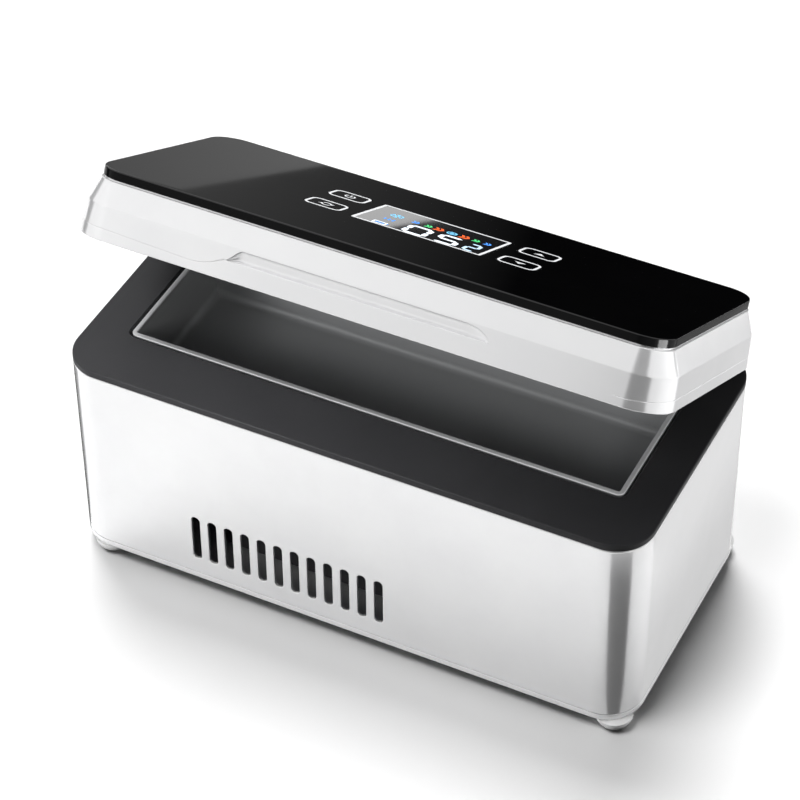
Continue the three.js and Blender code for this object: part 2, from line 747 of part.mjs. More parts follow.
// Bezel: the dark frame round the mouth, with a skirt inside the shell and the fixed hinge knuckles at the rear.
const mouthHalfX = trayHalfX + fit;
const mouthHalfY = trayHalfY + fit;
const mouthCorner = rimCorner + fit;
const bezelChamfer = 0.5;
const rearDrop = 1.8;
const knuckleRadius = 2.4;
const knuckleGap = 0.4;
const knuckleMid = 10;
const knuckleSide = 8.6;
const hingeEndInset = 45.5;
const hingeX = bodyLength / 2 - hingeEndInset;
const pinRadius = 0.85;
const pinBore = pinRadius + fit;
const pinInset = 0.5;
const knuckleSpan = knuckleMid / 2 + knuckleGap + knuckleSide;

const bezelPlate = rings([
  [bodyLength / 2, bodyDepth / 2, cornerRadius, bezelLowZ],
  [bodyLength / 2, bodyDepth / 2, cornerRadius, bezelTopZ - bezelChamfer],
  [bodyLength / 2 - bezelChamfer, bodyDepth / 2 - bezelChamfer, cornerRadius - bezelChamfer, bezelTopZ],
  [mouthHalfX, mouthHalfY, mouthCorner, bezelTopZ],
  [mouthHalfX, mouthHalfY, mouthCorner, bezelLowZ],
], true);
const skirt = rings([
  [skirtHalfX, skirtHalfY, skirtCorner, bezelLowZ - skirtHeight],
  [skirtHalfX, skirtHalfY, skirtCorner, bezelLowZ + bezelChamfer],
  [skirtHalfX - skirtThick, skirtHalfY - skirtThick, skirtCorner - skirtThick, bezelLowZ + bezelChamfer],
  [skirtHalfX - skirtThick, skirtHalfY - skirtThick, skirtCorner - skirtThick, bezelLowZ - skirtHeight],
], true);
const rearEdgeY = bodyDepth / 2 + overrun;
const rearSlope = rearDrop / hingeInset;
const bezelBevel = alongX([
  [hingeY, bezelTopZ],
  [rearEdgeY, bezelTopZ - rearSlope * (rearEdgeY - hingeY)],
  [rearEdgeY, bezelTopZ + overrun],
  [hingeY, bezelTopZ + overrun],
], -bodyLength, bodyLength);
const hinges = [-hingeX, hingeX];
const sideStart = knuckleMid / 2 + knuckleGap;
const bezelKnuckles = hinges.flatMap((x) => [
  crosswise(knuckleRadius, x - knuckleSpan, x - sideStart, hingeY, hingeZ),
  crosswise(knuckleRadius, x + sideStart, x + knuckleSpan, hingeY, hingeZ),
]);
const lidKnuckleRoom = hinges.map((x) => (
  crosswise(knuckleRadius + knuckleGap, x - sideStart, x + sideStart, hingeY, hingeZ)
));
const pinRoom = hinges.map((x) => (
  crosswise(pinBore, x - knuckleSpan - overrun, x + knuckleSpan + overrun, hingeY, hingeZ, smallSteps)
));
place('top_bezel', cut(
  joined(cut(joined(bezelPlate, skirt), bezelBevel, ...lidKnuckleRoom), ...bezelKnuckles),
  ...pinRoom,
), darkSatin);

// Hinge pins: one steel pin through the three knuckles of each hinge.
['hinge_pin_left', 'hinge_pin_right'].forEach((name, i) => {
  const x = hinges[i];
  const half = knuckleSpan - pinInset;
  place(name, crosswise(pinRadius, x - half, x + half, hingeY, hingeZ, smallSteps), steel);
});

// Closure: magnets in the lid's front pull on steel plates under the bezel.
const magnetEndInset = 47.5;
const magnetFrontInset = 12.2;
const magnetX = bodyLength / 2 - magnetEndInset;
const magnetY = magnetFrontInset - bodyDepth / 2;
const magnetHalfX = 6;
const magnetHalfY = 3;
const magnetThick = 3;
const strikeThick = 1.2;

const sides = [['left', -magnetX], ['right', magnetX]];
const plateTopZ = bezelLowZ - fit;
sides.forEach(([side, x]) => place(`strike_plate_${side}`, box(
  x - magnetHalfX, x + magnetHalfX,
  magnetY - magnetHalfY, magnetY + magnetHalfY,
  plateTopZ - strikeThick, plateTopZ,
), steel));

// Lid shell: two leaning bands that meet at a crease, a finger scoop in the front, and the moving hinge knuckles.
const lidWall = 2.2;
const creaseHeight = 11.5;
const creaseInset = 1;
const topInsetX = 3.8;
const topInsetY = 3.4;
const lidTopCorner = 10.8;
const creaseZ = lidLowZ + creaseHeight;
const ceilingZ = lidTopZ - lidWall + bezelChamfer;
const creaseHalfX = lidHalfX - creaseInset;
const creaseHalfY = lidHalfY - creaseInset;
const topHalfX = lidHalfX - topInsetX;
const topHalfY = lidHalfY - topInsetY;
const bandShare = (ceilingZ - creaseZ) / (lidTopZ - creaseZ);
const ceilingHalfX = creaseHalfX + (topHalfX - creaseHalfX) * bandShare;
const ceilingHalfY = creaseHalfY + (topHalfY - creaseHalfY) * bandShare;
const lidCup = rings([
  [lidHalfX, lidHalfY, lidCorner, lidLowZ],
  [creaseHalfX, creaseHalfY, lidCorner - creaseInset, creaseZ],
  [topHalfX, topHalfY, lidTopCorner, lidTopZ],
]);
const lidHollow = rings([
  [lidHalfX - lidWall, lidHalfY - lidWall, lidCorner - lidWall, lidLowZ - overrun],
  [lidHalfX - lidWall, lidHalfY - lidWall, lidCorner - lidWall, lidLowZ],
  [creaseHalfX - lidWall, creaseHalfY - lidWall, lidCorner - creaseInset - lidWall, creaseZ],
  [ceilingHalfX - lidWall, ceilingHalfY - lidWall, lidTopCorner - lidWall, ceilingZ],
]);
const windowHalfX = 24;
const windowHalfY = 15.1;
const windowY = 2.3;
const keyX = 35.6;
const keyHighY = 13.1;
const keyLowY = -6.4;
const keyHalfX = 7.1;
const keyHalfY = 5.4;
const keyFlange = 0.8;
const deckHalfX = keyX + keyHalfX + keyFlange + lidWall;
const deckY0 = windowY - windowHalfY - keyFlange - lidWall - wall;
const deckY1 = windowY + windowHalfY + keyFlange + lidWall + wall;
const deckOpening = box(-deckHalfX, deckHalfX, deckY0, deckY1, ceilingZ - overrun, lidTopZ + overrun);

const lidRise = 2.185;
const lidSlope = lidRise / hingeInset;
const lidBevel = alongX([
  [hingeY, lidLowZ],
  [hingeY, lidLowZ - overrun],
  [rearEdgeY, lidLowZ - overrun],
  [rearEdgeY, lidLowZ + lidSlope * (rearEdgeY - hingeY)],
], -bodyLength, bodyLength);

const scoopLeftX = -50;
const scoopLeftTopX = -42.5;
const scoopRightX = 46.4;
const scoopRightTopX = 36.5;
const scoopLowZ = lidLowZ + 6.7;
const scoopHighZ = creaseZ - fit;
const scoopDeep = 2.4;
const scoopSteps = 6;
const scoopFrontY = -lidHalfY;
const padInset = 4.6;
const padRise = 2;
const scoopOutline = [[scoopLeftX, scoopLowZ], [scoopRightX, scoopLowZ]];
for (let i = 1; i <= scoopSteps; i += 1) {
  const angle = Math.PI / 2 * i / scoopSteps;
  const x = scoopRightTopX + (scoopRightX - scoopRightTopX) * Math.cos(angle);
  scoopOutline.push([x, scoopLowZ + (scoopHighZ - scoopLowZ) * Math.sin(angle)]);
}
for (let i = 0; i < scoopSteps; i += 1) {
  const share = i / scoopSteps;
  const ease = (1 + Math.cos(Math.PI * share)) / 2;
  scoopOutline.push([
    scoopLeftTopX + (scoopLeftX - scoopLeftTopX) * share,
    scoopLowZ + (scoopHighZ - scoopLowZ) * ease,
  ]);
}
const scoopWedge = alongX([
  [scoopFrontY - overrun, scoopHighZ],
  [scoopFrontY - overrun, scoopLowZ],
  [scoopFrontY + scoopDeep, scoopLowZ],
  [scoopFrontY + creaseInset, scoopHighZ],
], -bodyLength, bodyLength);
const scoop = common(alongY(scoopOutline, scoopFrontY - overrun, scoopFrontY + overrun), scoopWedge);
const scoopPad = box(
  scoopLeftX - padRise, scoopRightX + padRise,
  scoopFrontY + lidWall - fit, scoopFrontY + padInset,
  scoopLowZ - padRise, creaseZ,
);

const lidBossRadius = 3.2;
const lidBossBore = 1.55;
const lidBossInsetX = 8.2;
const lidBossInsetY = 18.9;
const lidMidBossInset = 10.9;
const lidBossX = lidHalfX - lidBossInsetX;
const lidBossY = lidHalfY - lidBossInsetY;
const lidMidBossY = lidHalfY - lidMidBossInset;
const linerThick = 2;
const linerRise = 2;
const linerLowZ = lidLowZ + linerRise;
const linerTopZ = linerLowZ + linerThick;
const lidScrewPlaces = [...cornersOf(lidBossX, lidBossY), [0, -lidMidBossY], [0, lidMidBossY]];
const lidBosses = lidScrewPlaces.map(([x, y]) => upright(lidBossRadius, x, y, linerTopZ + fit, ceilingZ + fit));
const lidBossBores = lidScrewPlaces.map(([x, y]) => upright(lidBossBore, x, y, linerTopZ - overrun, creaseZ));

const screenBoardThick = 1.6;
const screenBoardZ = lidTopZ - 7.3;
const screenBoardTopZ = screenBoardZ + screenBoardThick;
const screenBossRadius = 2.5;
const screenBossBore = 1.25;
const screenBossX = deckHalfX + screenBossRadius + wall;
const screenBossY = [deckY0 + screenBossRadius, deckY1 - screenBossRadius];
const screenBossPlaces = [-screenBossX, screenBossX].flatMap((x) => screenBossY.map((y) => [x, y]));
const screenBosses = screenBossPlaces.map(([x, y]) => (
  upright(screenBossRadius, x, y, screenBoardTopZ + fit, ceilingZ + fit)
));
const screenBores = screenBossPlaces.map(([x, y]) => (
  upright(screenBossBore, x, y, screenBoardTopZ - overrun, ceilingZ - fit)
));

const fixedKnuckleRoom = hinges.flatMap((x) => [
  crosswise(knuckleRadius + knuckleGap, x - knuckleSpan - knuckleGap, x - knuckleMid / 2, hingeY, hingeZ),
  crosswise(knuckleRadius + knuckleGap, x + knuckleMid / 2, x + knuckleSpan + knuckleGap, hingeY, hingeZ),
]);
const lidKnuckles = hinges.map((x) => (
  crosswise(knuckleRadius, x - knuckleMid / 2, x + knuckleMid / 2, hingeY, hingeZ)
));
const lidWalls = cut(joined(cut(lidCup, lidHollow), scoopPad, ...lidBosses, ...screenBosses), deckOpening);
const lidBored = cut(lidWalls, scoop, lidBevel, ...lidBossBores, ...screenBores, ...fixedKnuckleRoom);
place('lid_shell', cut(joined(lidBored, ...lidKnuckles), ...pinRoom), whiteShell, lid);

// Top panel: the black gloss plate on the lid, with openings for the display window and the four keys.
const panelChamfer = 0.4;
const windowCorner = 1;
const keyCorner = 3;
const panelPlate = rings([
  [panelHalfX, panelHalfY, panelCorner, panelLowZ],
  [panelHalfX, panelHalfY, panelCorner, panelTopZ - panelChamfer],
  [panelHalfX - panelChamfer, panelHalfY - panelChamfer, panelCorner - panelChamfer, panelTopZ],
]);

function slab(halfX, halfY, radius, x, y, z0, z1) {
  return rings([[halfX, halfY, radius, z0], [halfX, halfY, radius, z1]], false, innerSteps).translate(x, y, 0);
}

const keys = [
  ['power', -keyX, keyHighY],
  ['auto', -keyX, keyLowY],
  ['up', keyX, keyHighY],
  ['down', keyX, keyLowY],
];
const windowHole = slab(
  windowHalfX + fit, windowHalfY + fit, windowCorner + fit, 0, windowY, panelLowZ - overrun, panelTopZ + overrun,
);
const keyHoles = keys.map(([, x, y]) => (
  slab(keyHalfX + fit, keyHalfY + fit, keyCorner + fit, x, y, panelLowZ - overrun, panelTopZ + overrun)
));
place('top_panel', cut(panelPlate, windowHole, ...keyHoles), blackGloss, lid);

// Display: a clear window flush in the panel over a glass module, on the display board.
const windowThick = 1.2;
const moduleRim = 3;
const moduleThick = 5;
const glassInset = 0.4;
const windowLowZ = panelTopZ - windowThick;
const displayLowZ = screenBoardTopZ + fit;
const displayMidZ = displayLowZ + moduleThick;
const windowPlate = slab(windowHalfX, windowHalfY, windowCorner, 0, windowY, windowLowZ, panelTopZ);
place('display_window', windowPlate, smokedLens, lid);
place('display_module', joined(
  slab(windowHalfX + moduleRim, windowHalfY + moduleRim, windowCorner, 0, windowY, displayLowZ, displayMidZ),
  slab(windowHalfX - glassInset, windowHalfY - glassInset, windowCorner, 0, windowY, displayLowZ, windowLowZ - fit),
), blackPlastic, lid);

// Keys: each cap travels straight down through the panel onto its own switch, and a flange holds it in.
const keyTravel = 0.4;
const keySlack = 0.1;
const flangeDeep = 1;
const stemRadius = 2;
const stemLength = 0.4;
const switchHalf = 3;
const plungerRadius = 1.7;
const plungerTall = 0.5;
const keyFlangeTopZ = panelLowZ - fit;
const keyFlangeLowZ = keyFlangeTopZ - flangeDeep;
const stemLowZ = keyFlangeLowZ - stemLength;
const plungerTopZ = stemLowZ - keyTravel - keySlack;
keys.forEach(([name, x, y]) => {
  place(`key_${name}`, joined(
    slab(keyHalfX, keyHalfY, keyCorner, x, y, keyFlangeLowZ, panelTopZ),
    slab(keyHalfX + keyFlange, keyHalfY + keyFlange, keyCorner, x, y, keyFlangeLowZ, keyFlangeTopZ),
    upright(stemRadius, x, y, stemLowZ, keyFlangeTopZ),
  ), blackGloss, lid);
});
keys.forEach(([name, x, y]) => {
  place(`switch_${name}`, joined(
    box(
      x - switchHalf, x + switchHalf,
      y - switchHalf, y + switchHalf,
      screenBoardTopZ + fit, plungerTopZ - plungerTall,
    ),
    upright(plungerRadius, x, y, screenBoardTopZ + fit, plungerTopZ),
  ), blackPlastic, lid);
});

// Display board: carries the display and the switches, screwed up to the lid shell.
const screenEdge = 1.5;
const screenHalfX = screenBossX + screenBossRadius + screenEdge;
const screenScrewHead = 1.9;
const screenScrewHeadThick = 1.3;
const screenScrewShank = 0.8;
const screenScrewLength = 4.6;
const boardNames = ['front_left', 'rear_left', 'front_right', 'rear_right'];
const screenHoles = screenBossPlaces.map(([x, y]) => (
  upright(screenBossBore, x, y, screenBoardZ - overrun, screenBoardTopZ + overrun)
));
place('display_board', cut(
  box(-screenHalfX, screenHalfX, deckY0 - screenEdge, deckY1 + screenEdge, screenBoardZ, screenBoardTopZ),
  ...screenHoles,
), boardGreen, lid);
screenBossPlaces.forEach(([x, y], i) => screw(
  `display_screw_${boardNames[i]}`, x, y, screenBoardZ - fit - screenScrewHeadThick, screenScrewHeadThick,
  screenScrewHead, screenScrewShank, screenScrewLength, lid,
));

// Lid liner: the inner cover, with a plug that drops into the mouth and a seal round it.
const plugClear = 1.7;
const plugDrop = 3;
const plugWall = 1.6;
const plugCorner = 3;
const linerFit = 0.8;
const lowPlugHalfX = trayInX - plugClear;
const lowPlugHalfY = trayInY - plugClear;
const plugLowZ = bezelTopZ - plugDrop;
const linerHalfX = lidHalfX - lidWall - linerFit;
const linerHalfY = lidHalfY - lidWall - linerFit;
const linerCorner = lidCorner - lidWall - linerFit;
const plugBlock = rings([
  [lowPlugHalfX, lowPlugHalfY, plugCorner, plugLowZ],
  [lowPlugHalfX, lowPlugHalfY, plugCorner, linerTopZ],
], false, innerSteps);
const plugHollow = rings([
  [lowPlugHalfX - plugWall, lowPlugHalfY - plugWall, plugCorner - plugWall, plugLowZ + plugWall],
  [lowPlugHalfX - plugWall, lowPlugHalfY - plugWall, plugCorner - plugWall, linerTopZ + overrun],
], false, innerSteps);
const linerPlate = rings([
  [linerHalfX, linerHalfY, linerCorner, linerLowZ],
  [linerHalfX, linerHalfY, linerCorner, linerTopZ],
]);
const lidScrewHoles = lidScrewPlaces.map(([x, y]) => (
  upright(lidBossBore, x, y, linerLowZ - overrun, linerTopZ + overrun)
));
const hingeNotches = hinges.map((x) => box(
  x - knuckleSpan - 2 * knuckleGap, x + knuckleSpan + 2 * knuckleGap,
  hingeY - knuckleRadius - 2 * knuckleGap, linerHalfY + overrun,
  linerLowZ - overrun, linerTopZ + overrun,
));
place('lid_liner', cut(
  joined(linerPlate, plugBlock), plugHollow, ...lidScrewHoles, ...hingeNotches,
), darkSatin, lid);

const lidScrewHead = 2.6;
const lidScrewHeadThick = 1.1;
const lidScrewShank = 1.1;
const lidScrewLength = 7;
const lidScrewNames = [...cornerNames, 'front_middle', 'rear_middle'];
lidScrewPlaces.forEach(([x, y], i) => screw(
  `lid_screw_${lidScrewNames[i]}`, x, y, linerLowZ - fit - lidScrewHeadThick, lidScrewHeadThick,
  lidScrewHead, lidScrewShank, lidScrewLength, lid,
));

const sealWide = 3;
const sealHalfX = trayHalfX + sealWide - rimWidth;
const sealHalfY = trayHalfY + sealWide - rimWidth;
const sealCorner = rimCorner + sealWide - rimWidth;
const sealLowZ = bezelTopZ + fit;
const sealTopZ = linerLowZ - fit;
place('lid_seal', rings([
  [sealHalfX, sealHalfY, sealCorner, sealLowZ],
  [sealHalfX, sealHalfY, sealCorner, sealTopZ],
  [sealHalfX - sealWide, sealHalfY - sealWide, sealCorner - sealWide + fit, sealTopZ],
  [sealHalfX - sealWide, sealHalfY - sealWide, sealCorner - sealWide + fit, sealLowZ],
], true, innerSteps), sealGrey, lid);

const lidFoamHeight = 11.5;
const lidFoamLowZ = plugLowZ + plugWall + fit;
place('lid_foam', rings([
  [lowPlugHalfX - plugWall - fit, lowPlugHalfY - plugWall - fit, plugCorner - plugWall, lidFoamLowZ],
  [lowPlugHalfX - plugWall - fit, lowPlugHalfY - plugWall - fit, plugCorner - plugWall, lidFoamLowZ + lidFoamHeight],
], false, innerSteps), foamGrey, lid);
sides.forEach(([side, x]) => place(`lid_magnet_${side}`, box(
  x - magnetHalfX, x + magnetHalfX,
  magnetY - magnetHalfY, magnetY + magnetHalfY,
  linerTopZ + fit, linerTopZ + fit + magnetThick,
), steel, lid));

// The origin is under the middle of the case as it stands open, so the body moves forward by half the rear overhang.
const openAngle = THREE.MathUtils.degToRad(lidOpenDeg);
const panelBackY = panelHalfY - hingeY;
const panelBackZ = panelTopZ - panelChamfer - hingeZ;
const rearReach = hingeY + panelBackY * Math.cos(openAngle) + panelBackZ * Math.sin(openAngle);
const model = new THREE.Group();
model.add(body, lidTurn);
model.position.y = -(rearReach - bodyDepth / 2) / 2;

export default model;
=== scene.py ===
import json
import math

import bmesh
import bpy
from mathutils import Matrix, Vector

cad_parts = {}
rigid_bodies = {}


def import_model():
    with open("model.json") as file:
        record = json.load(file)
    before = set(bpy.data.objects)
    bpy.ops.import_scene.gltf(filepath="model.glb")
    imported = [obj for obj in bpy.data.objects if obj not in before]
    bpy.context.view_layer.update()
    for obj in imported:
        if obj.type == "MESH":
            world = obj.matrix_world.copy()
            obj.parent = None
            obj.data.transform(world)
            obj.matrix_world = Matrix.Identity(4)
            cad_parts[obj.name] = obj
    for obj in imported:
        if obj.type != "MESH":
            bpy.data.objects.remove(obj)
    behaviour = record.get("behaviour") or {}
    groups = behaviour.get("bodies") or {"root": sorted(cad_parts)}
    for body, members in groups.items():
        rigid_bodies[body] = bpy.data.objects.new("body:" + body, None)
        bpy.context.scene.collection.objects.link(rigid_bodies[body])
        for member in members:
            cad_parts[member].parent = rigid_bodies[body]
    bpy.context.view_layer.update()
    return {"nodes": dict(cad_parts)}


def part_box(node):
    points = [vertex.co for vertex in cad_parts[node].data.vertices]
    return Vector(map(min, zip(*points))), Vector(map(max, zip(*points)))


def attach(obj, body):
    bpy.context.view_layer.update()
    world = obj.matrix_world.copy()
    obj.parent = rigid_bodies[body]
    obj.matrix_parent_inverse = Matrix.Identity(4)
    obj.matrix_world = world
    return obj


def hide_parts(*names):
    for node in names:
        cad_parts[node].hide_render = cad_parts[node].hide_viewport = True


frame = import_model()

# Camera
# A long lens looks down on the case from its front right, at the angle of the photograph. The values come
# from a fit to the straight edges of the case.
camera_lens = 138.95
camera_sensor = 36
camera_near = 0.05
camera_far = 30
camera_place = (0.3489, -0.7063, 0.7875)
camera_turn = (47.571, 0.3677, 26.2612)


def add_object(name, data):
    """Puts a new object into the scene."""
    thing = bpy.data.objects.new(name, data)
    bpy.context.scene.collection.objects.link(thing)
    return thing


camera_data = bpy.data.cameras.new("camera")
camera_data.sensor_width = camera_sensor
camera_data.lens = camera_lens
camera_data.clip_start = camera_near
camera_data.clip_end = camera_far
camera = add_object("camera", camera_data)
camera.location = camera_place
camera.rotation_euler = [math.radians(angle) for angle in camera_turn]
bpy.context.scene.camera = camera
bpy.context.scene.view_settings.view_transform = "Standard"

# Studio floor and sky
# A matt white table that keeps the soft shadow of the case. The camera and the glossy rays see its paint as
# it is, and it throws less light back on the case, as a table does that is masked around the set.
floor_half = 4.0
floor_seen = (0.90, 0.90, 0.90, 1)
floor_bounce = (0.05, 0.05, 0.05, 1)
sky_white = (1, 1, 1, 1)
sky_strength = 0.2
sky_rise = (0.5, 0.75)


def start_material(name):
    """A new material and its cleared tree of nodes."""
    material = bpy.data.materials.new(name)
    material.use_nodes = True
    material.node_tree.nodes.clear()
    return material, material.node_tree


def new_node(tree, kind, *first, **named):
    """A node with its inputs set, or joined to other nodes: the first ones in order, others by name."""
    node = tree.nodes.new("ShaderNode" + kind)
    values = list(zip(node.inputs, first))
    values += [(node.inputs[name.replace("_", " ")], value) for name, value in named.items()]
    for socket, value in values:
        if isinstance(value, bpy.types.Node):
            value = value.outputs[0]
        if isinstance(value, bpy.types.NodeSocket):
            tree.links.new(value, socket)
        else:
            socket.default_value = value
    return node


def seen_rays(tree):
    """One for camera, glossy and transmission rays, and zero for the light that falls on things."""
    path = new_node(tree, "LightPath").outputs
    seen = path["Is Camera Ray"]
    for ray in ("Is Glossy Ray", "Is Transmission Ray"):
        seen = new_node(tree, "Math", seen, path[ray])
        seen.operation = "MAXIMUM"
    return seen


def pick_by_ray(tree, lighting, seen, output_kind):
    """Ends a tree in two shaders: one that gives light, and one that is seen."""
    new_node(tree, output_kind, new_node(tree, "MixShader", seen_rays(tree), lighting, seen))


white_table, table_tree = start_material("white_table")
table_bounce = new_node(table_tree, "BsdfDiffuse", floor_bounce)
table_paint = new_node(table_tree, "BsdfDiffuse", floor_seen)
pick_by_ray(table_tree, table_bounce, table_paint, "OutputMaterial")


def studio_sheet(name, corners, material):
    """A flat sheet in the studio, which is no part of the case."""
    mesh = bpy.data.meshes.new(name)
    mesh.from_pydata(corners, [], [tuple(range(len(corners)))])
    mesh.materials.append(material)
    sheet = add_object(name, mesh)
    return sheet


def rectangle(x_low, y_low, x_high, y_high):
    """The corners of a rectangle."""
    return [(x_low, y_low), (x_high, y_low), (x_high, y_high), (x_low, y_high)]


floor_corners = [(x, y, 0) for x, y in rectangle(-floor_half, -floor_half, floor_half, floor_half)]
studio_floor = studio_sheet("studio_floor", floor_corners, white_table)

world = bpy.data.worlds.new("studio")
world.use_nodes = True
sky = world.node_tree
sky.nodes.clear()
sky_way = new_node(sky, "TexCoord").outputs["Generated"]
sky_height = new_node(sky, "SeparateXYZ", sky_way).outputs["Z"]
sky_fade = new_node(
    sky, "MapRange", sky_height, From_Min=sky_rise[0], From_Max=sky_rise[1], To_Max=sky_strength
)
sky_light = new_node(sky, "Background", Strength=sky_fade)
sky_seen = new_node(sky, "Background", sky_white, 1.0)
pick_by_ray(sky, sky_light, sky_seen, "OutputWorld")
bpy.context.scene.world = world

# Studio lights
# Soft boxes stand at the left, above, at the right and behind. Small ones reach the lid, the bezel, the
# tray, the gloss panel or the window alone, and the table has its own two lights. Each box has a place, a
# size, a spread, an aim, its watts and its reach.
soft_boxes = {
    "left_box": ((-0.40, -0.60, 0.30), (0.35, 0.30), 180, (0.0, -0.05, 0.05), 5.6, "off_lid"),
    "lid_box": ((-0.46, -0.44, 0.38), (0.30, 0.30), 180, (0.0, -0.05, 0.13), 2.25, "lid_only"),
    "lid_end_box": ((0.60, 0.15, 0.40), (0.20, 0.20), 180, (0.1, 0.0, 0.13), 2.3, "lid_only"),
    "top_box": ((-0.15, -0.05, 0.62), (0.40, 0.40), 180, (-0.02, -0.03, 0.13), 2.2, "off_table"),
    "right_box": ((0.62, 0.24, 0.20), (0.30, 0.20), 180, (0.1, 0.0, 0.06), 3.3, "off_table"),
    "rear_box": ((-0.35, 0.80, 0.35), (0.50, 0.40), 180, (0.0, 0.05, 0.06), 8.0, "off_table"),
    "bezel_box": ((-0.12, -0.20, 0.32), (0.10, 0.10), 60, (-0.05, -0.055, 0.09), 0.26, "bezel_only"),
    "tray_box": ((0.25, -0.35, 0.30), (0.10, 0.10), 180, (-0.09, 0.0, 0.08), 0.5, "tray_only"),
    "panel_glint": ((0.438, -0.111, 0.089), (0.20, 0.22), 180, (0.10, -0.045, 0.15), 7.0, "panel_only"),
    "window_sheen": (
        (-0.1385, 0.295, 0.0388), (0.14, 0.06), 180, (-0.1385, 0.0, 0.0388), 0.035, "window_only",
    ),
}
mirrored_boxes = ("panel_glint", "window_sheen")
sheen_turn = (-90, 26.7, 0)
# Each table light has a direction that it comes from, a width in degrees and a strength.
table_lights = {
    "table_rear_light": ((-0.26, 0.41, 1.0), 26, 2.8),
    "table_front_light": ((-0.26, -0.30, 1.0), 23, 1.5),
}
lamp_groups = (
    "off_lid", "off_table", "lid_only", "panel_only", "window_only", "bezel_only", "tray_only", "table_only",
)
lamp_reach = {name: bpy.data.collections.new(name) for name in lamp_groups}
lamp_reach["table_only"].objects.link(studio_floor)


def keep_off(group, thing):
    """Keeps the lamps of one group off a thing."""
    reach = lamp_reach[group]
    reach.objects.link(thing)
    reach.collection_objects[len(reach.objects) - 1].light_linking.link_state = "EXCLUDE"


def hang_lamp(name, light_data, place, aim, group):
    """Hangs a lamp, points it along a line, and sets what it reaches and whether it is seen in gloss."""
    lamp = add_object(name, light_data)
    lamp.location = place
    lamp.rotation_euler = aim.to_track_quat("-Z", "Y").to_euler()
    lamp.visible_camera = False
    lamp.visible_glossy = name in mirrored_boxes
    lamp.light_linking.receiver_collection = lamp_reach[group]
    return lamp


keep_off("off_lid", studio_floor)
keep_off("off_table", studio_floor)
for lamp_name, (lamp_at, lamp_size, spread, lamp_aim, watts, group) in soft_boxes.items():
    light_data = bpy.data.lights.new(lamp_name, "AREA")
    light_data.shape = "RECTANGLE"
    light_data.size, light_data.size_y = lamp_size
    light_data.spread = math.radians(spread)
    light_data.energy = watts
    lamp = hang_lamp(lamp_name, light_data, lamp_at, Vector(lamp_aim) - Vector(lamp_at), group)
    if lamp_name == "window_sheen":
        lamp.rotation_euler = [math.radians(angle) for angle in sheen_turn]
for lamp_name, (lamp_from, width, strength) in table_lights.items():
    light_data = bpy.data.lights.new(lamp_name, "SUN")
    light_data.energy = strength
    light_data.angle = math.radians(width)
    hang_lamp(lamp_name, light_data, (0, 0, 0), -Vector(lamp_from), "table_only")

# Reflection cards
# Cards of which only the reflections count. A dark one behind the case makes the gloss of the lid's panel
# deep black and ends in a slanting edge with a pale sheen beyond it. The others shade the corners, rims and
# ends.
card_low = 0.001
dark_card_y = 0.30
sheen_card_y = 0.31
dark_outline = (
    (0.40, 0.0), (-0.075, 0.0), (-0.255, 0.0905), (-0.255, 0.12), (-0.07, 0.25), (-0.07, 0.70), (0.40, 0.70),
)
sheen_outline = ((-0.02, 0.0), (-0.60, 0.0), (-0.60, 0.12), (-0.02, 0.12))
front_corner = (0.1015, -0.0535)
left_corner = (-0.1055, -0.049)
fan_steps = 8


def floor_fan(centre, from_angle, to_angle, reach):
    """A fan on the table, between two angles from straight ahead."""
    points = [(centre[0], centre[1], card_low)]
    for i in range(fan_steps + 1):
        angle = math.radians(from_angle + (to_angle - from_angle) * i / fan_steps)
        points.append((centre[0] + reach * math.sin(angle), centre[1] - reach * math.cos(angle), card_low))
    return points


def floor_strip(x_low, x_high, y_low, y_high):
    """A strip on the table."""
    return [(x, y, card_low) for x, y in rectangle(x_low, y_low, x_high, y_high)]


def standing_card(start, end, low, high):
    """An upright card between two spots on the table."""
    return [(*spot, z) for spot, z in ((start, low), (end, low), (end, high), (start, high))]


# Each card has its corners, the x at which its glow starts and stops to change, and its glow at both.
cards = {
    "dark_card": ([(x, dark_card_y, z) for x, z in dark_outline], (-0.26, -0.06), (0.17, 0.0)),
    "sheen_card": ([(x, sheen_card_y, z) for x, z in sheen_outline], (-0.27, -0.16), (0.24, 0.36)),
    "front_corner_card": (floor_fan(front_corner, 12, 76, 0.085), (0, 1), (0, 0)),
    "left_rim_card": (floor_fan(left_corner, -170, -98, 0.12), (0, 1), (0, 0)),
    "lid_corner_card": (standing_card((-0.06, -0.514), (0.486, -0.352), 0.15, 0.88), (-0.06, 0.05), (0.8, 0)),
    "lid_left_card": (standing_card((-0.583, -0.12), (-0.553, 0.173), 0.0, 0.20), (0, 1), (0, 0)),
    "right_foot_card": (floor_strip(0.109, 0.141, -0.04, 0.20), (0.118, 0.141), (0.64, 1.1)),
    "right_end_card": (floor_strip(0.141, 0.23, 0.03, 0.26), (0, 1), (0.36, 0.36)),
}
for card_name, (corners, fade_at, glow) in cards.items():
    card_paint, tree = start_material(card_name)
    place = new_node(tree, "TexCoord").outputs["Object"]
    across = new_node(tree, "SeparateXYZ", place).outputs["X"]
    fade = new_node(tree, "MapRange", across, *fade_at, *glow)
    new_node(tree, "OutputMaterial", new_node(tree, "Emission", Strength=fade))
    card = studio_sheet(card_name, corners, card_paint)
    card.visible_camera = False
    card.visible_diffuse = False
    card.visible_shadow = False
    card.visible_transmission = False

